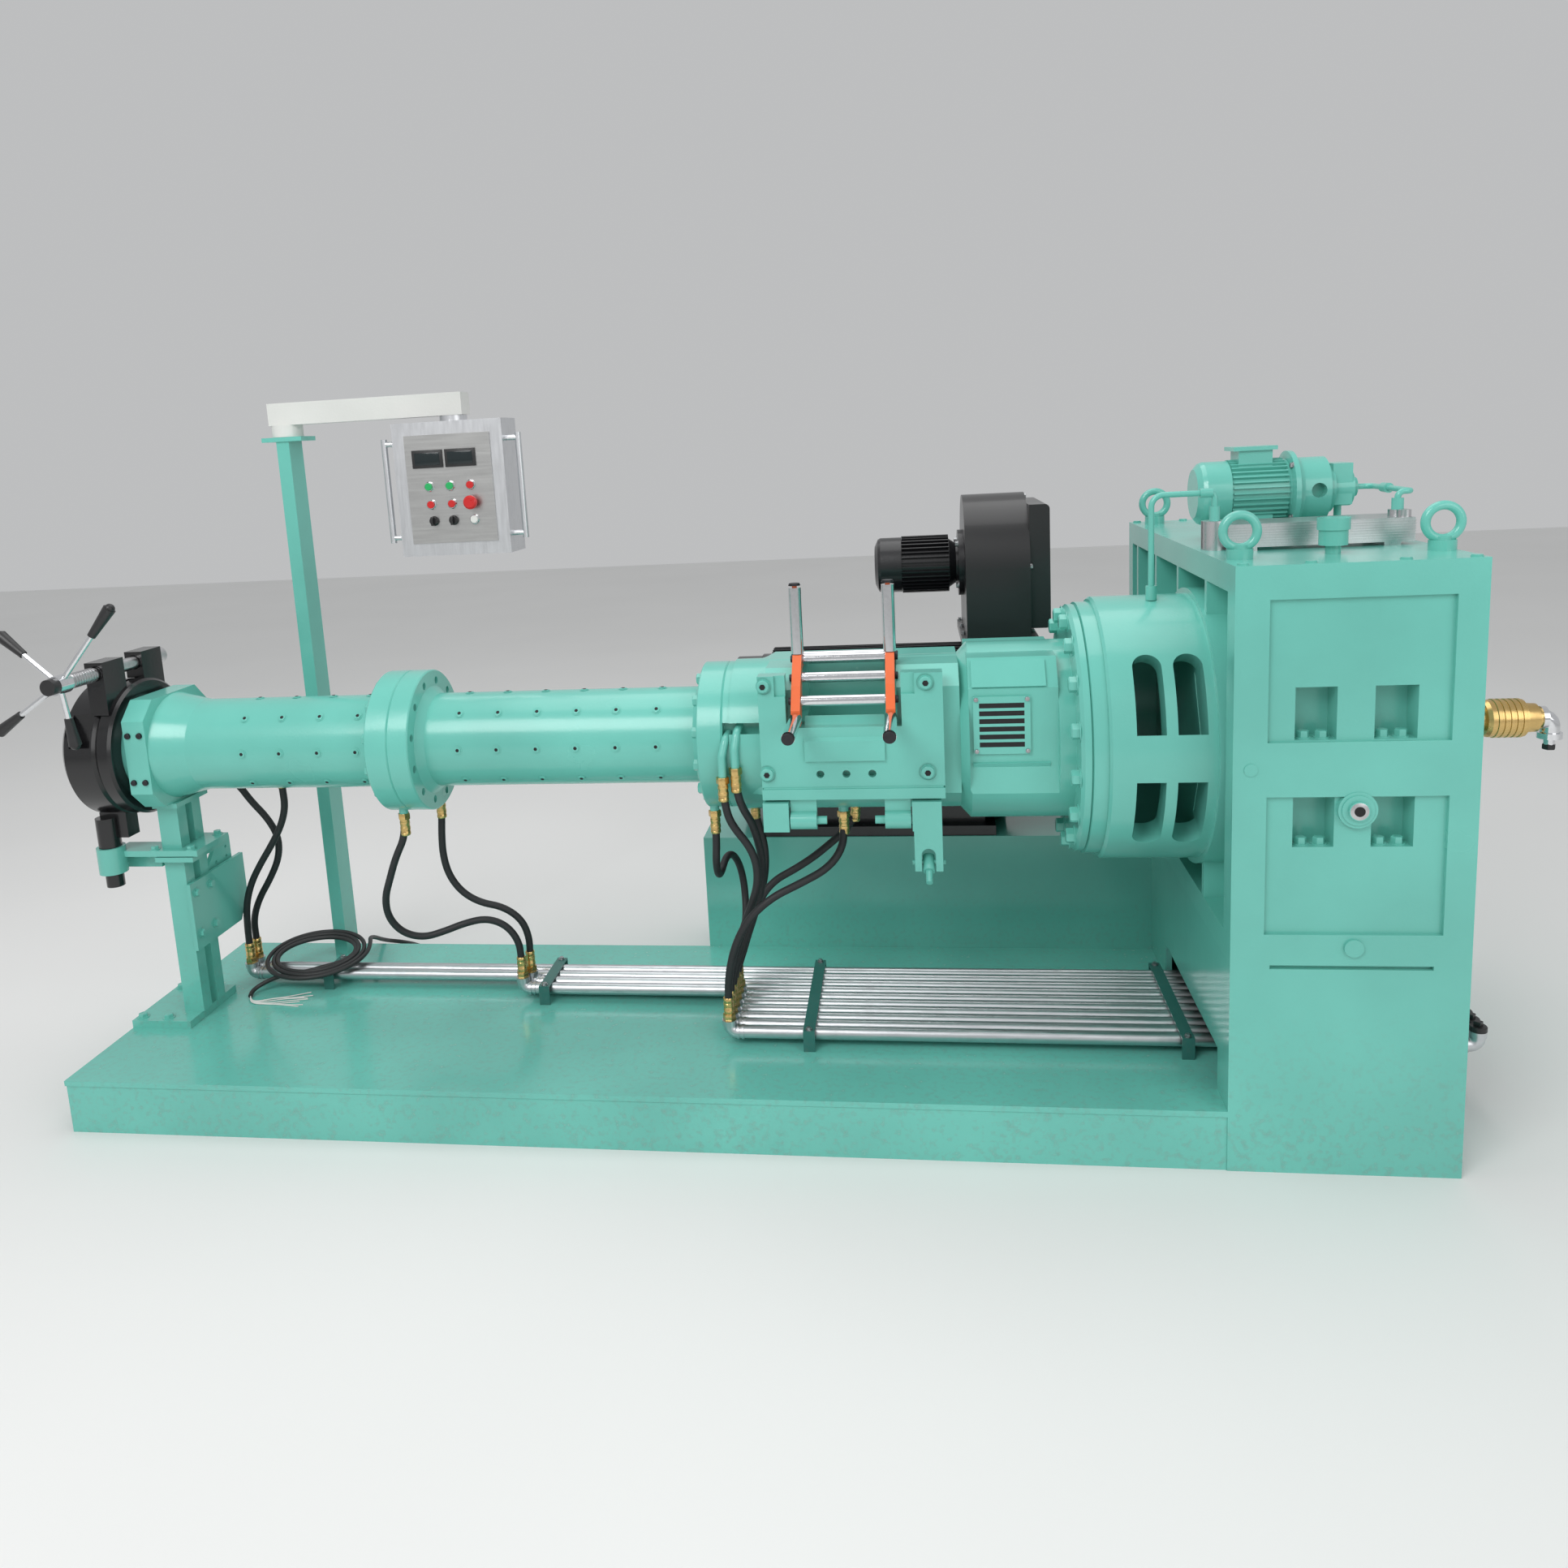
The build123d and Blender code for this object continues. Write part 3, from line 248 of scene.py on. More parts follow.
# Water hoses: black rubber hoses of 20 mm that stand on the pipes' upturned elbows and end in the
# machine's fittings. Each is one smooth curve through the air between its two crimped ends.
HOSE_DIAMETER = 0.02
rubber = moulded("hose_rubber", (0.016, 0.016, 0.018), roughness=0.55)
HOSES = {
    "hose_door": [
        (30, -140, 214), (30, -140, 272), (37, -149, 344), (60, -162, 430), (101, -168, 505),
        (162, -162, 558), (236, -136, 586), (300, -106, 612), (337, -80, 652), (345, -60, 700),
        (345, -60, 752)],
    "hose_shoulder_left": [
        (30, -100.5, 214), (30, -100.5, 267), (37, -101, 320), (50, -106, 375), (68, -113, 430),
        (88, -120, 485), (108, -130, 535), (123, -140, 583), (126, -150, 630), (120, -160, 670),
        (105, -168, 705), (84, -176, 737), (68, -186, 771), (62, -196, 809), (60, -203, 848),
        (60, -203, 886)],
    "hose_shoulder_right": [
        (30, -61, 214), (30, -61, 261), (38, -61, 308), (56, -63, 354), (72, -66, 401),
        (92, -70, 453), (111, -76, 505), (125, -84, 552), (133, -98, 606), (134, -118, 657),
        (129, -140, 708), (121, -164, 756), (106, -184, 793), (96, -197, 831), (93, -203, 870),
        (93, -203, 909)],
    "hose_housing_right": [
        (30, -21.5, 214), (30, -21.5, 258), (36, -21, 302), (48, -17, 344), (65, -15, 388),
        (83, -11, 433), (103, -6, 477), (124, 0, 513), (155, 8, 542), (192, 16, 560),
        (231, 25, 581), (268, 33, 605), (334, 46, 657), (357, 51, 686), (369, 54, 716),
        (372, 55, 749)],
    "hose_housing_left": [
        (30, 18, 214), (30, 18, 270), (50, 21, 326), (65, 26, 373), (82, 32, 419), (97, 38, 464),
        (111, 45, 507), (120, 50, 551), (122, 55, 596), (117, 58, 640), (105, 60, 681),
        (100, 60, 722), (100, 60, 757)],
    "hose_flange": [
        (30, 57.5, 214), (30, 57.5, 262), (34, 72, 306), (42, 99, 344), (45, 141, 377),
        (42, 174, 416), (38, 188, 460), (31, 188, 507), (22, 166, 547), (14, 126, 572),
        (7, 80, 575), (3, 38, 556), (3, -8, 559), (5, -47, 584), (8, -71, 624), (12, -72, 671),
        (12, -70, 717), (12, -70, 760)],
    "hose_middle_left": [
        (-607, 97, 214), (-607, 97, 267), (-609, 95, 324), (-640, 88, 375), (-692, 76, 400),
        (-752, 62, 391), (-808, 46, 373), (-864, 26, 362), (-915, 5, 385), (-943, -15, 438),
        (-938, -34, 503), (-910, -48, 566), (-883, -56, 630), (-844, -60, 698), (-844, -60, 757)],
    "hose_middle_right": [
        (-594, 136.5, 214), (-594, 136.5, 263), (-591, 134, 321), (-608, 128, 377),
        (-656, 118, 418), (-718, 108, 434), (-766, 98, 469), (-796, 88, 523), (-805, 80, 587),
        (-801, 76, 651), (-794, 75, 711), (-794, 75, 762)],
    "hose_column_left": [
        (-1494, 176, 214), (-1494, 176, 274), (-1489, 170, 342), (-1476, 160, 411),
        (-1446, 150, 479), (-1403, 140, 541), (-1354, 130, 603), (-1311, 120, 664),
        (-1285, 112, 726), (-1281, 100, 789), (-1281, 100, 849)],
    "hose_column_right": [
        (-1493, 215.5, 214), (-1493, 215.5, 274), (-1490, 208, 339), (-1457, 198, 409),
        (-1406, 188, 477), (-1363, 178, 548), (-1351, 168, 617), (-1374, 158, 679),
        (-1411, 146, 733), (-1434, 131, 788), (-1470, 124, 820), (-1502, 122.5, 829)],
}


def metres(points):
    return [Vector(point) / 1000 for point in points]


def cord_curve(name, points, diameter, material):
    data = bpy.data.curves.new(name, "CURVE")
    data.dimensions = "3D"
    data.bevel_depth = diameter / 2
    data.bevel_resolution = 5
    data.resolution_u = 6
    data.use_fill_caps = True
    spline = data.splines.new("NURBS")
    spline.points.add(len(points) - 1)
    for knot, point in zip(spline.points, points):
        knot.co = (*point, 1)
    spline.order_u = 3
    spline.use_endpoint_u = True
    data.materials.append(material)
    piece = bpy.data.objects.new(name, data)
    bpy.context.scene.collection.objects.link(piece)
    return piece


# Crimped hose ends: a hexagon nut and a ribbed brass sleeve at each end of every hose. A lathe turns
# a profile of (distance, radius) steps about a line; with six sides it makes a hexagon.
def lathe(mesh, at, along, profile, sides=20):
    turn = Vector(along).to_track_quat("Z", "Y").to_matrix()
    rings = []
    for distance, radius in profile:
        ring = []
        for i in range(sides):
            angle = 2 * math.pi * i / sides
            offset = Vector((radius * math.cos(angle), radius * math.sin(angle), distance))
            ring.append(mesh.verts.new(Vector(at) + turn @ offset))
        rings.append(ring)
    for low, high in zip(rings, rings[1:]):
        for i in range(sides):
            j = (i + 1) % sides
            mesh.faces.new((low[i], low[j], high[j], high[i]))
    mesh.faces.new(rings[0][::-1])
    mesh.faces.new(rings[-1])


def finished(name, mesh, material, body, sharp_deg=35):
    data = bpy.data.meshes.new(name)
    mesh.to_mesh(data)
    mesh.free()
    data.polygons.foreach_set("use_smooth", [True] * len(data.polygons))
    data.set_sharp_from_angle(angle=math.radians(sharp_deg))
    data.materials.append(material)
    piece = bpy.data.objects.new(name, data)
    bpy.context.scene.collection.objects.link(piece)
    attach(piece, body)
    return piece


NUT = [(0, 0.0155), (0.002, 0.0165), (0.015, 0.0165), (0.017, 0.0155)]
SLEEVE = [(0.017, 0.0125), (0.022, 0.0125), (0.023, 0.0135), (0.03, 0.0135), (0.031, 0.0128),
          (0.038, 0.0128), (0.039, 0.0136), (0.046, 0.0136), (0.047, 0.0128), (0.054, 0.0128),
          (0.055, 0.0135), (0.06, 0.0132), (0.062, 0.0118)]

for name, route in HOSES.items():
    points = metres(route)
    ends = bmesh.new()
    for at, towards in ((points[0], points[1]), (points[-1], points[-2])):
        along = (towards - at).normalized()
        lathe(ends, at, along, NUT, sides=6)
        lathe(ends, at, along, SLEEVE)
    fittings = finished(name + "_ends", ends, brass, "machine")
    hose = cord_curve(name + "_rubber", points, HOSE_DIAMETER, rubber)
    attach(hose, "machine")
    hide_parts(name)


# Power cable: it leaves the gland on the back of the bedplate, comes up over the edge and lies in
# loose turns, tilted on the two outer water pipes. Its bare end drops to the deck.
CABLE_DIAMETER, CABLE_LENGTH = 0.013, 3.24
sheath = moulded("cable_sheath", (0.02, 0.02, 0.021), roughness=0.5)
CABLE_LEAD = [
    (-1085, 489, 88), (-1085, 532.8, 88), (-1109.5, 566.4, 90), (-1149, 579.3, 98),
    (-1188.5, 566.4, 112), (-1213, 532.8, 130), (-1213, 490, 152), (-1210, 450, 174),
    (-1203, 410, 195), (-1193, 370, 213), (-1181, 332, 226)]
CABLE_TAIL = [
    (-1292, 131, 206), (-1336, 130, 201), (-1378, 130, 192), (-1412, 124, 180), (-1440, 112, 168),
    (-1455, 92, 158), (-1447, 72, 154)]
COIL_POINTS, POINTS_PER_TURN = 53, 16
COIL_START_DEG = 28
COIL_MIDDLE = (-1300, 220)
COIL_OUTER, COIL_INNER = (158, 140), (114, 84)
COIL_LEVEL, COIL_TILT, TILT_AXIS_Y = 220, 0.15, 190
OUT_OF_ROUND, RIPPLE = 3, 2


def coil_points():
    """Turns that go from the outside in, each a little out of round, on the tilted plane."""
    points = []
    for step in range(COIL_POINTS):
        share = step / COIL_POINTS
        angle = math.radians(COIL_START_DEG - 360 * step / POINTS_PER_TURN)
        wobble = OUT_OF_ROUND * math.sin(1.7 * angle + 0.6)
        radius_x, radius_y = (outer + (inner - outer) * share + wobble
                              for outer, inner in zip(COIL_OUTER, COIL_INNER))
        x = COIL_MIDDLE[0] + radius_x * math.cos(angle)
        y = COIL_MIDDLE[1] + radius_y * math.sin(angle)
        rise = COIL_TILT * (y - TILT_AXIS_Y) + RIPPLE * math.sin(0.8 * angle)
        points.append((x, y, COIL_LEVEL + rise))
    return points


cable_route = metres(CABLE_LEAD + coil_points() + CABLE_TAIL)
cable = cord_curve("cable_sheath", cable_route, CABLE_DIAMETER, sheath)
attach(cable, "machine")
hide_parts("cable_lead", "cable_coil", "cable_tail")


# Bolts, screws and plugs: heads on marked points, each with the direction that it faces. The tree
# sets a washer, a straight part with the head's number of sides and its chamfer on every point.
CHAMFER_SHARE, CHAMFER_NARROWING = 0.15, 0.84
bolt_steel = metal("bolt_steel", (0.45, 0.46, 0.47), roughness=0.36, stain=0.4, grain=0.1)
oxide = metal("blackened_steel", (0.06, 0.06, 0.065), roughness=0.45, stain=0.2, grain=0.1)
dark = moulded("inner_shadow_paint", (0.008, 0.008, 0.009), roughness=0.7, scuff=0.0)


def socket(tree, name, kind, value=None, way="INPUT"):
    made = tree.interface.new_socket(name=name, in_out=way, socket_type="NodeSocket" + kind)
    if value is not None:
        made.default_value = value
    return made.identifier


def set_on_points(tree, given, shape, pivot):
    """The tree's output: the shape on every point, turned from +Z to the way the point faces."""
    socket(tree, "Shapes", "Geometry", way="OUTPUT")
    new, link = tree.nodes.new, tree.links.new
    facing, align = new("GeometryNodeInputNamedAttribute"), new("FunctionNodeAlignRotationToVector")
    facing.data_type = "FLOAT_VECTOR"
    facing.inputs["Name"].default_value = "facing"
    align.axis, align.pivot_axis = "Z", pivot
    link(facing.outputs["Attribute"], align.inputs["Vector"])
    place, real = new("GeometryNodeInstanceOnPoints"), new("GeometryNodeRealizeInstances")
    link(given.outputs["Places"], place.inputs["Points"])
    link(shape, place.inputs["Instance"])
    link(align.outputs[0], place.inputs["Rotation"])
    link(place.outputs[0], real.inputs[0])
    link(real.outputs[0], new("NodeGroupOutput").inputs[0])


def head_tree():
    tree = bpy.data.node_groups.new("bolt_heads", "GeometryNodeTree")
    socket(tree, "Places", "Geometry")
    keys = {}
    for name, kind, value in (("Head radius", "Float", 0.01), ("Head height", "Float", 0.008),
                              ("Sides", "Int", 6), ("Washer radius", "Float", 0.014),
                              ("Washer height", "Float", 0.002)):
        keys[name] = socket(tree, name, kind, value)
    new, link = tree.nodes.new, tree.links.new
    given = new("NodeGroupInput")

    def maths(operation, first, second):
        node = new("ShaderNodeMath")
        node.operation = operation
        for slot, value in zip(node.inputs, (first, second)):
            if isinstance(value, float):
                slot.default_value = value
            else:
                link(value, slot)
        return node.outputs[0]

    def lifted(mesh, height):
        lift, move = new("ShaderNodeCombineXYZ"), new("GeometryNodeTransform")
        link(height, lift.inputs["Z"])
        link(mesh, move.inputs["Geometry"])
        link(lift.outputs[0], move.inputs["Translation"])
        return move.outputs[0]

    height, radius = given.outputs["Head height"], given.outputs["Head radius"]
    washer_height = given.outputs["Washer height"]
    washer, head = new("GeometryNodeMeshCylinder"), new("GeometryNodeMeshCylinder")
    washer.inputs["Vertices"].default_value = 20
    link(given.outputs["Washer radius"], washer.inputs["Radius"])
    link(washer_height, washer.inputs["Depth"])
    link(given.outputs["Sides"], head.inputs["Vertices"])
    link(radius, head.inputs["Radius"])
    straight = maths("MULTIPLY", height, 1 - CHAMFER_SHARE)
    link(straight, head.inputs["Depth"])
    chamfer = new("GeometryNodeMeshCone")
    link(given.outputs["Sides"], chamfer.inputs["Vertices"])
    link(radius, chamfer.inputs["Radius Bottom"])
    link(maths("MULTIPLY", radius, CHAMFER_NARROWING), chamfer.inputs["Radius Top"])
    link(maths("MULTIPLY", height, CHAMFER_SHARE), chamfer.inputs["Depth"])
    join = new("GeometryNodeJoinGeometry")
    link(lifted(washer.outputs["Mesh"], maths("MULTIPLY", washer_height, 0.5)), join.inputs[0])
    middle = maths("ADD", washer_height, maths("MULTIPLY", straight, 0.5))
    link(lifted(head.outputs["Mesh"], middle), join.inputs[0])
    top = maths("ADD", washer_height, straight)
    link(lifted(chamfer.outputs["Mesh"], top), join.inputs[0])
    set_on_points(tree, given, join.outputs[0], "AUTO")
    return tree, keys


HEAD_TREE, HEAD_KEYS = head_tree()


def grown(name, places, tree, values, material, body):
    """One plain mesh from a tree that works on points, each with the direction it faces."""
    points = bpy.data.meshes.new(name + "_points")
    points.from_pydata(metres(at for at, _ in places), [], [])
    facing = points.attributes.new("facing", "FLOAT_VECTOR", "POINT")
    for item, (_, way) in zip(facing.data, places):
        item.vector = way
    maker = bpy.data.objects.new(name + "_maker", points)
    bpy.context.scene.collection.objects.link(maker)
    modifier = maker.modifiers.new("tree", "NODES")
    modifier.node_group = tree
    for key, value in values.items():
        modifier[key] = value
    bpy.context.view_layer.update()
    evaluated = maker.evaluated_get(bpy.context.evaluated_depsgraph_get())
    data = bpy.data.meshes.new_from_object(evaluated)
    data.name = name
    bpy.data.objects.remove(maker)
    data.materials.clear()
    data.materials.append(material)
    piece = bpy.data.objects.new(name, data)
    bpy.context.scene.collection.objects.link(piece)
    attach(piece, body)


def heads(name, places, radius, height, material=bolt_steel, sides=6, washer=1.3, body="machine",
          slot="bright_steel", washer_height=0.002):
    values = {"Head radius": radius, "Head height": height, "Sides": sides,
              "Washer radius": radius * washer, "Washer height": washer_height}
    keyed = {HEAD_KEYS[key]: value for key, value in values.items()}
    grown(name, places, HEAD_TREE, keyed, material, body)


OPERATOR, LEFT, RIGHT, UP, DOWN = (0, -1, 0), (-1, 0, 0), (1, 0, 0), (0, 0, 1), (0, 0, -1)
PAINTED = {"material": teal, "slot": "teal_paint"}
SHADOW = {"material": dark, "slot": "black_paint", "washer": 0.9, "washer_height": 0.0002}
BLACKENED = {"material": oxide, "washer": 1.1}


def spread(count, first_deg):
    return [first_deg + i * 360 / count for i in range(count)]


def bolt_circle(x, axis, radius, angles_deg, way):
    """Places round a line along X that runs through the axis, given as (y, z)."""
    return [((x, axis[0] + radius * math.cos(turn), axis[1] + radius * math.sin(turn)), way)
            for turn in map(math.radians, angles_deg)]


# Barrel: rows of round plugs with dark hexagon sockets close the drilled water channels, eight rows
# round each length of barrel, and bolts hold its flanges, the housing's and the drum's together. A
# row of plugs is given by its first X, its pitch and its count.
SCREW_AXIS = (0, 946)
BARREL_R = 126
PLUG_ROWS = 8
FRONT_PLUGS, REAR_PLUGS = (-1255, 108, 4), (-648, 105.6, 6)
SOCKET_LIFT = 2.8
plug_places = []
for start, pitch, count in (FRONT_PLUGS, REAR_PLUGS):
    for angle in spread(PLUG_ROWS, 0):
        turn = math.radians(angle)
        out = (0, math.cos(turn), math.sin(turn))
        for i in range(count):
            at = (start + i * pitch, BARREL_R * out[1], SCREW_AXIS[1] + BARREL_R * out[2])
            plug_places.append((at, out))
heads("barrel_plugs", plug_places, radius=0.0095, height=0.002, sides=20, washer=1.35,
      washer_height=0.0008, **PAINTED)
socket_places = [(Vector(at) + SOCKET_LIFT * Vector(out), out) for at, out in plug_places]
heads("barrel_plug_sockets", socket_places, radius=0.0048, height=0.0006, **SHADOW)
for name, x in (("barrel_flange_bolts", -877), ("housing_flange_bolts", -4)):
    heads(name, bolt_circle(x, SCREW_AXIS, 161, spread(12, 15), LEFT), radius=0.0145, height=0.013,
          **PAINTED)
heads("drum_flange_bolts", bolt_circle(905, SCREW_AXIS, 280, spread(16, 11), LEFT), radius=0.019,
      height=0.018, **PAINTED)
heads("head_flange_bolts", [((x, -151, z), OPERATOR) for x in (-1563, -1529) for z in (878, 1008)],
      radius=0.0075, height=0.004, sides=20, **BLACKENED)


# Feed door: four large socket screws with dark sockets. Vent: a small screw in each corner of its
# frame. Strip guide: the bolts of its two brackets and the caps on the ends of its rods.
DOOR_SCREWS = [(x, z) for x in (174, 560) for z in (897, 1115)]
heads("door_screws", [((x, -218, z), OPERATOR) for x, z in DOOR_SCREWS], radius=0.0155, height=0.013,
      sides=28, washer=1.15, body="feed_door", **PAINTED)
heads("door_screw_sockets", [((x, -233.4, z), OPERATOR) for x, z in DOOR_SCREWS], radius=0.0075,
      height=0.0006, body="feed_door", **SHADOW)
heads("vent_screws", [((x, -197, z), OPERATOR) for x in (677, 796) for z in (938, 1064)],
      radius=0.0045, height=0.003, sides=16, washer=1.2)
heads("guide_bolts", [((x, y, z), way) for x, way in ((240, LEFT), (488, RIGHT))
                      for y, z in ((-104, 1158), (-74, 1158), (-152, 1120), (-200, 1072))],
      radius=0.009, height=0.006, sides=20, **BLACKENED)
heads("guide_rod_ends", [((x, -428, 1036), OPERATOR) for x in (251, 477)], radius=0.0135,
      height=0.004, sides=24, **BLACKENED)
heads("guide_upright_ends", [((x, -115, 1343), UP) for x in (251, 477)], radius=0.0135,
      height=0.004, sides=24, **BLACKENED)


# Column: hexagon bolts through its foot plate, its side plate and the saddle on top.
heads("column_foot_bolts", [((x, y, 168), UP) for x in (-1680, -1600) for y in (-95, 95)],
      radius=0.013, height=0.01, **PAINTED)
heads("column_side_bolts", [((-1503, y, z), RIGHT) for y in (-35, 35) for z in (520, 400)],
      radius=0.011, height=0.008, **PAINTED)
heads("saddle_bolts", [((x, y, 660), UP) for x in (-1480, -1590) for y in (-66, 66)],
      radius=0.011, height=0.009, **PAINTED)


# Gearbox: flat screws along both edges of the lid, and bolts on the floors of the four pockets.
heads("gearbox_lid_screws", [((x, y, 1383), UP) for x in (1225, 1360, 1545, 1680)
                             for y in (-389, 827)],
      radius=0.011, height=0.003, sides=20, washer=1.1, **PAINTED)
heads("gearbox_pocket_bolts", [((x, -375, z), UP) for x in (1355, 1393, 1514, 1552)
                               for z in (1005, 767)], radius=0.013, height=0.014, **PAINTED)


# Sight glass: a bright ring round a dark eye.
GLASS_X, GLASS_Z = 1.46, 0.852
EYE = [(0, 0.011), (0.003, 0.011), (0.004, 0.01)]
RING = [(0, 0.02), (0.008, 0.02), (0.009, 0.018)]
glass = bmesh.new()
lathe(glass, (GLASS_X, -0.4195, GLASS_Z), OPERATOR, EYE, sides=28)
finished("sight_glass_eye", glass, dark, "machine")
ring = bmesh.new()
lathe(ring, (GLASS_X, -0.4125, GLASS_Z), OPERATOR, RING, sides=32)
finished("sight_glass_ring", ring, steel, "machine")


# Ribs: the motors' cooling fins stand out along their bodies, and the oil cooler is a stack of thin
# plates. One tree sets a bar of the given length, width and height on each marked point.
MOTOR_AXIS, BLOWER_AXIS, LUBE_AXIS = (705, 775), (705, 1295), (200, 1500)
PLATE_COUNT, PLATE_PITCH = 8, 6


def rib_tree():
    tree = bpy.data.node_groups.new("ribs", "GeometryNodeTree")
    socket(tree, "Places", "Geometry")
    keys = {}
    for name, value in (("Length", 0.1), ("Width", 0.003), ("Height", 0.02)):
        keys[name] = socket(tree, name, "Float", value)
    new, link = tree.nodes.new, tree.links.new
    given, size, bar = new("NodeGroupInput"), new("ShaderNodeCombineXYZ"), new("GeometryNodeMeshCube")
    for axis, name in zip("XYZ", keys):
        link(given.outputs[name], size.inputs[axis])
    link(size.outputs[0], bar.inputs["Size"])
    set_on_points(tree, given, bar.outputs["Mesh"], "X")
    return tree, keys


RIB_TREE, RIB_KEYS = rib_tree()


def ribs(name, places, length, width, height, material):
    values = {"Length": length, "Width": width, "Height": height}
    keyed = {RIB_KEYS[key]: value for key, value in values.items()}
    grown(name, places, RIB_TREE, keyed, material, "machine")


def fins(x, axis, radius, count):
    places = []
    for angle in spread(count, 0):
        turn = math.radians(angle)
        out = (0, math.cos(turn), math.sin(turn))
        places.append(((x, axis[0] + radius * out[1], axis[1] + radius * out[2]), out))
    return places


ribs("main_motor_fins", fins(415, MOTOR_AXIS, 257, 72), length=0.64, width=0.004, height=0.026,
     material=motor_black)
ribs("blower_motor_fins", fins(576.5, BLOWER_AXIS, 80, 36), length=0.141, width=0.003, height=0.014,
     material=motor_black)
ribs("lube_motor_fins", fins(1397.5, LUBE_AXIS, 76, 36), length=0.131, width=0.003, height=0.012,
     material=teal)
ribs("cooler_plates", [((1463.5, -47.5, 1396 + PLATE_PITCH * i), UP) for i in range(PLATE_COUNT)],
     length=0.405, width=0.139, height=0.0022, material=steel)


# Painted shade in the six slots of the vent's frame: flat dark bars just behind them.
VENT_SLOT_COUNT, VENT_SLOT_PITCH = 6, 19
ribs("vent_slot_shade", [((736.5, -194, 954 + VENT_SLOT_PITCH * i), UP) for i in range(VENT_SLOT_COUNT)],
     length=0.106, width=0.005, height=0.0125, material=dark)


# Blower and motor fixings: bolts round the fan housing, the base plate and the motors' flanges.
heads("blower_face_bolts", bolt_circle(873, BLOWER_AXIS, 192, range(0, 210, 30), RIGHT),
      radius=0.008, height=0.006)
heads("blower_base_bolts", [((x, y, 1085), UP) for x in (684, 890) for y in (495, 635, 775, 915)],
      radius=0.005, height=0.006)
heads("motor_flange_bolts", bolt_circle(800, MOTOR_AXIS, 250, spread(8, 22.5), RIGHT), radius=0.012,
      height=0.01)
heads("blower_motor_bolts", bolt_circle(675, BLOWER_AXIS, 88, spread(4, 45), LEFT), radius=0.008,
      height=0.007)
heads("lube_flange_bolts", bolt_circle(1474, LUBE_AXIS, 89, spread(4, 45), LEFT), radius=0.007,
      height=0.006)


# Water pipes: black caps with square heads close the upturned outlets, and hexagon bolts hold the
# clamps' feet down on the deck. Each clamp is given by its X and the first pipe that it holds.
PIPE_ROWS = [-140 + 39.5 * i for i in range(10)]
CLAMPS = ((240, 0), (1170, 0), (-535, 6), (-1230, 8))
CLAMP_FOOT = 27
CAP_X = 1.838
CAP = [(0, 0.019), (0.001, 0.02), (0.011, 0.02), (0.013, 0.018)]
CAP_SQUARE = [(0, 0.011), (0.01, 0.011), (0.011, 0.0095)]
caps = bmesh.new()
for y in PIPE_ROWS:
    lathe(caps, (CAP_X, y / 1000, 0.216), UP, CAP, sides=24)
    lathe(caps, (CAP_X, y / 1000, 0.229), UP, CAP_SQUARE, sides=4)
finished("pipe_caps", caps, plastic, "machine")
heads("clamp_bolts", [((x, y, 202), UP) for x, first in CLAMPS
                      for y in (PIPE_ROWS[first] - CLAMP_FOOT, PIPE_ROWS[-1] + CLAMP_FOOT)],
      radius=0.007, height=0.005)


# Rotary joint: five brass ribs for grip round its body, and a black hexagon plug under the elbow.
RIB_COUNT, RIB_START, RIB_PITCH = 5, 1.892, 0.0135
RIB = [(0, 0.0455), (0.001, 0.047), (0.008, 0.047), (0.009, 0.0455)]
joint = bmesh.new()
for i in range(RIB_COUNT):
    lathe(joint, (RIB_START + RIB_PITCH * i, 0, SCREW_AXIS[1] / 1000), RIGHT, RIB, sides=36)
finished("joint_ribs", joint, brass, "machine")
plug = bmesh.new()
PLUG = [(0, 0.0125), (0.003, 0.015), (0.012, 0.015), (0.014, 0.013)]
lathe(plug, (2.024, 0, 0.882), DOWN, PLUG, sides=6)
finished("joint_plug", plug, plastic, "machine")


# Control panel: two displays, six push buttons with bright bezels, an emergency stop and two
# selector switches on the brushed plate. Places are millimetres across and up from its middle.
PANEL_X, PANEL_Y, PANEL_Z = -785, 349, 1609
DISPLAY_UP = 88
EDGE, SWITCH_EDGE = 1.2, 1
moss = moulded("green_button", (0.02, 0.42, 0.12), roughness=0.3, scuff=0.05)
red = moulded("red_button", (0.6, 0.02, 0.02), roughness=0.3, scuff=0.05)
screen = moulded("display_window", (0.012, 0.02, 0.022), roughness=0.12, scuff=0.0, pits=0.02)
white_cap = moulded("white_cap", (0.75, 0.75, 0.72), roughness=0.35, scuff=0.0)


def bevelled_block(mesh, low, high, bevel):
    corners = bmesh.ops.create_cube(mesh, size=1)["verts"]
    for corner in corners:
        for axis in range(3):
            corner.co[axis] = (low[axis] if corner.co[axis] < 0 else high[axis]) / 1000
    edges = [edge for edge in mesh.edges if edge.verts[0] in corners]
    bmesh.ops.bevel(mesh, geom=edges, offset=bevel / 1000, segments=2, profile=0.5, affect="EDGES")


def panel_point(across, up):
    return ((PANEL_X + across) / 1000, PANEL_Y / 1000, (PANEL_Z + up) / 1000)


def panel_block(name, across, up, width, height, depth, material):
    mesh = bmesh.new()
    bevelled_block(mesh, (PANEL_X + across - width / 2, PANEL_Y - depth, PANEL_Z + up - height / 2),
                   (PANEL_X + across + width / 2, PANEL_Y + 1, PANEL_Z + up + height / 2), EDGE)
    finished(name, mesh, material, "control_panel")


for number, across in enumerate((-62, 38)):
    panel_block(f"display_frame_{number + 1}", across, DISPLAY_UP, width=92, height=52, depth=5,
                material=plastic)
    panel_block(f"display_window_{number + 1}", across, DISPLAY_UP, width=76, height=36, depth=6,
                material=screen)

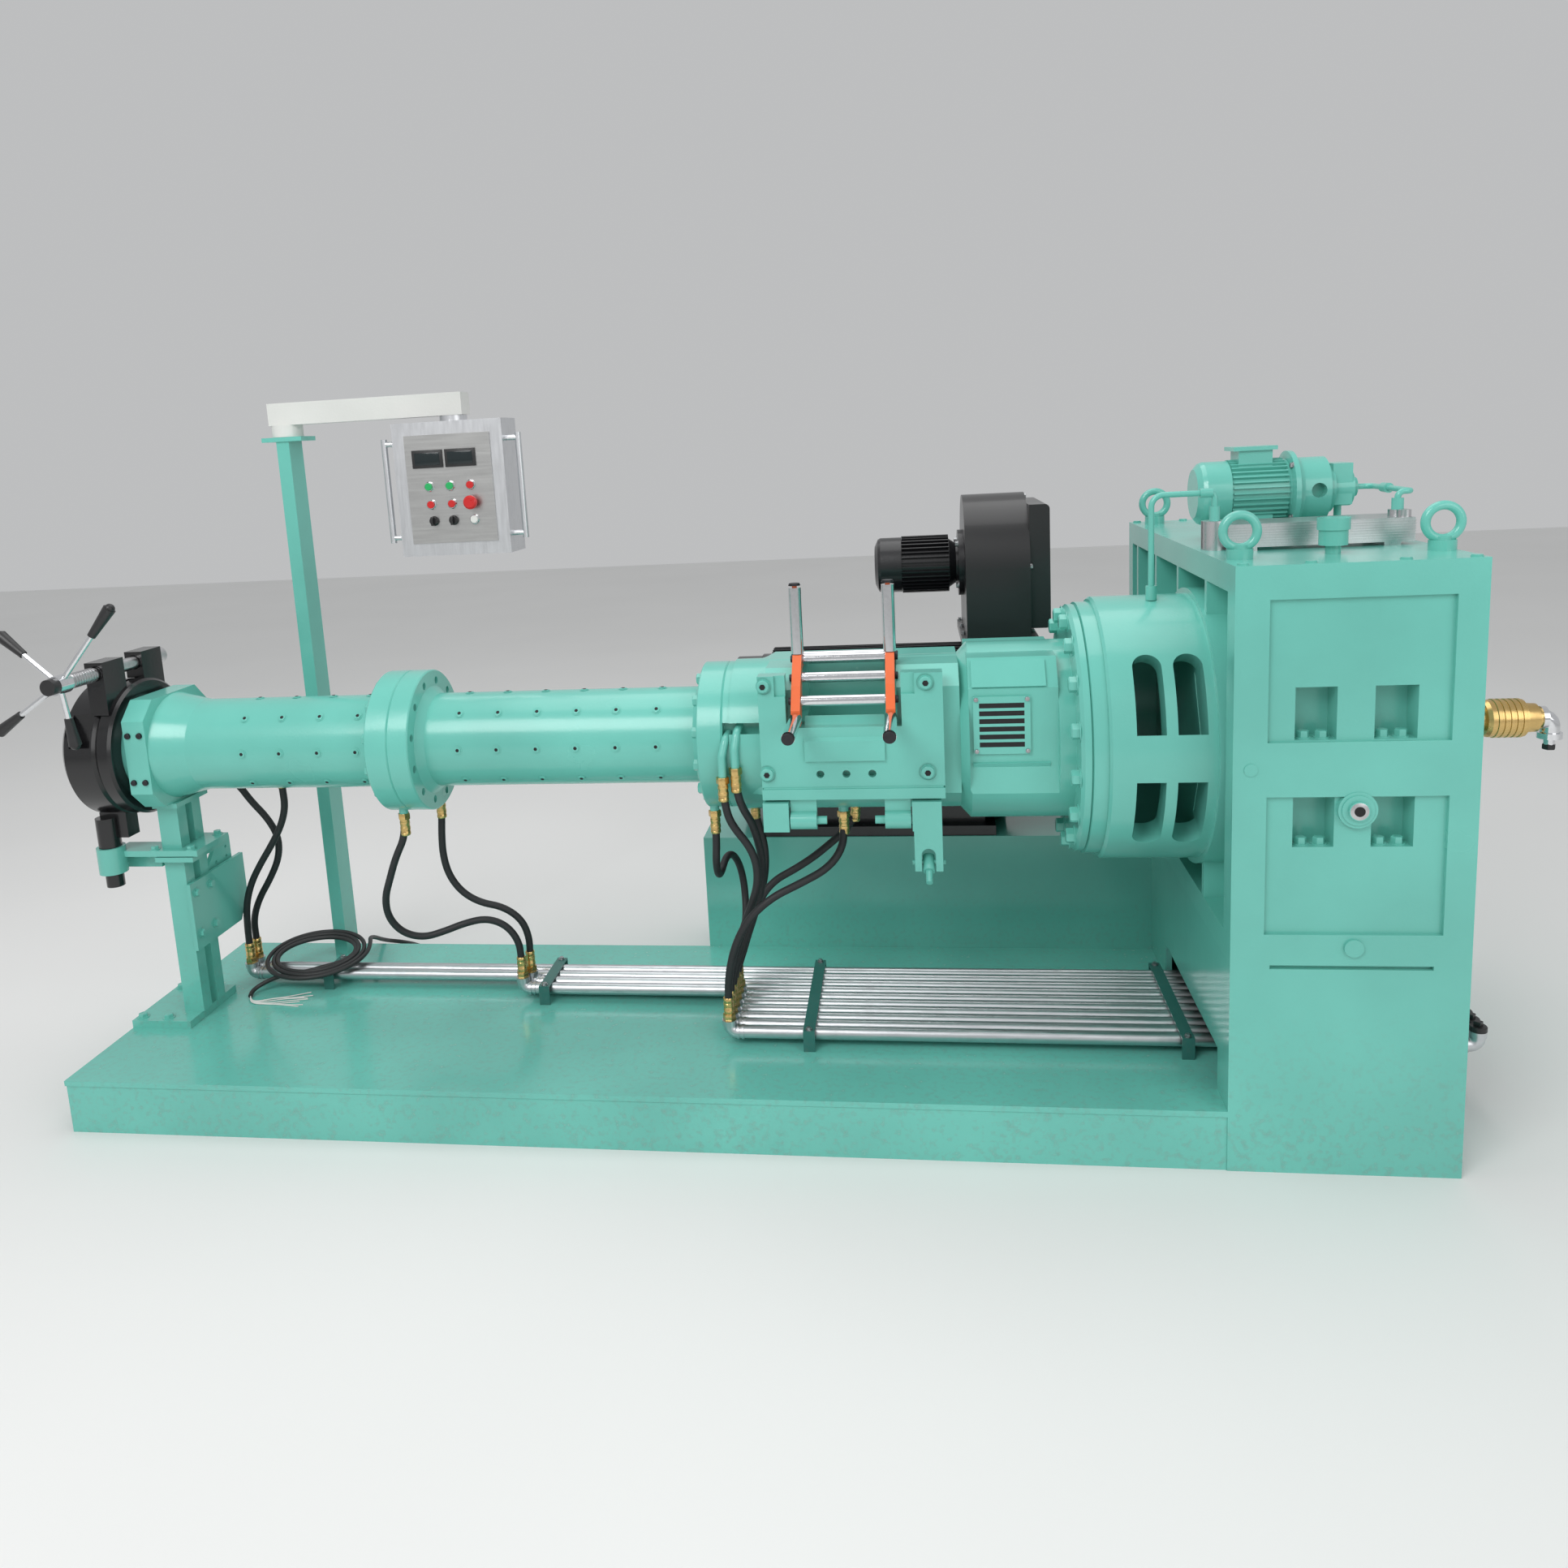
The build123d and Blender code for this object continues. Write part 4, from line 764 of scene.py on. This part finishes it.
BUTTONS = (("button_green_left", -64, 8, moss), ("button_green_middle", 0, 8, moss),
           ("button_red_right", 62, 8, red), ("button_red_left", -62, -44, red),
           ("button_red_middle", 2, -44, red), ("button_white", 66, -92, white_cap))
BEZEL = [(0, 0.0145), (0.004, 0.0145), (0.006, 0.0125), (0.006, 0.0115)]
BUTTON_CAP = [(0.005, 0.0108), (0.01, 0.0108), (0.011, 0.0095)]
BUTTON_SIDES = 28
for name, across, up, material in BUTTONS:
    bezel, cap = bmesh.new(), bmesh.new()
    lathe(bezel, panel_point(across, up), OPERATOR, BEZEL, BUTTON_SIDES)
    lathe(cap, panel_point(across, up), OPERATOR, BUTTON_CAP, BUTTON_SIDES)
    finished(name + "_bezel", bezel, chrome, "control_panel")
    finished(name, cap, material, "control_panel")

stop = bmesh.new()
MUSHROOM = [(0.005, 0.011), (0.016, 0.011), (0.018, 0.02), (0.026, 0.02), (0.03, 0.015)]
lathe(stop, panel_point(64, -42), OPERATOR, MUSHROOM, BUTTON_SIDES)
finished("emergency_stop", stop, red, "control_panel")
SWITCH_BODY = [(0, 0.0145), (0.004, 0.0145), (0.006, 0.012), (0.012, 0.0115)]
switches = bmesh.new()
for across, up in ((-58, -92), (2, -92)):
    lathe(switches, panel_point(across, up), OPERATOR, SWITCH_BODY, BUTTON_SIDES)
    bevelled_block(switches, (PANEL_X + across - 3, PANEL_Y - 24, PANEL_Z + up - 13),
                   (PANEL_X + across + 3, PANEL_Y - 10, PANEL_Z + up + 13), SWITCH_EDGE)
finished("selector_switches", switches, plastic, "control_panel")


# Stripped cores of the cable: thin white wires that fan out over the deck from the sheath's end. A
# smooth curve is a little shorter than the straight runs between its points.
WIRE_COUNT, WIRE_DIAMETER, WIRE_REACH = 8, 0.003, 150
WIRE_START = (-1447, 73, 153.5)
for number in range(WIRE_COUNT):
    spread_share = number / (WIRE_COUNT - 1) - 0.5
    reach = WIRE_REACH + 12 * math.sin(2.3 * number)
    route = [WIRE_START, (-1438, 54 + 4 * spread_share, 150.5),
             (-1416, 42 + 14 * spread_share, 148.5)]
    for step in (0.3, 0.5, 0.72, 1.0):
        sway = 7 * math.sin(4 * step + 1.3 * number)
        y = 42 + (30 + 50 * step) * spread_share + 26 * step + sway
        route.append((-1420 + reach * step, y, 148 + 0.2 * number))
    points = metres(route)
    wire = cord_curve(f"core_wire_{number + 1}", points, WIRE_DIAMETER, white_cap)
    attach(wire, "machine")


# Studio: a pale floor and surroundings, one large key light from the operator's left and softer
# light from the right and above.
def area_light(name, at, aim, size, watts):
    data = bpy.data.lights.new(name, "AREA")
    data.size = size
    data.energy = watts
    lamp = bpy.data.objects.new(name, data)
    lamp.location = at
    lamp.rotation_euler = (Vector(aim) - Vector(at)).to_track_quat("-Z", "Y").to_euler()
    bpy.context.scene.collection.objects.link(lamp)


area_light("key", at=(-2.0, -4.5, 5.0), aim=(0, 0, 0.8), size=3.0, watts=170)
area_light("fill", at=(4.0, -4.0, 3.0), aim=(0.6, 0, 0.8), size=3.5, watts=62)
area_light("top", at=(0.0, 1.0, 5.0), aim=(0, 0, 0.8), size=4.0, watts=80)

world = bpy.data.worlds.new("studio")
world.use_nodes = True
surroundings = world.node_tree.nodes["Background"].inputs
surroundings["Color"].default_value = (0.93, 0.94, 0.95, 1)
surroundings["Strength"].default_value = 0.55
bpy.context.scene.world = world
bpy.context.scene.view_settings.view_transform = "Standard"

FLOOR_HALF = 14
floor_mesh = bmesh.new()
bmesh.ops.create_grid(floor_mesh, x_segments=1, y_segments=1, size=FLOOR_HALF)
floor_data = bpy.data.meshes.new("studio_floor")
floor_mesh.to_mesh(floor_data)
floor_mesh.free()
floor = bpy.data.objects.new("studio_floor", floor_data)
bpy.context.scene.collection.objects.link(floor)
floor_finish = Finish("pale_floor", roughness=0.6)
clouds = floor_finish.noise(scale=0.6)
floor_finish.feed("Base Color", floor_finish.blend(clouds, (0.78, 0.78, 0.77), (0.84, 0.84, 0.83)))
floor_data.materials.append(floor_finish.material)
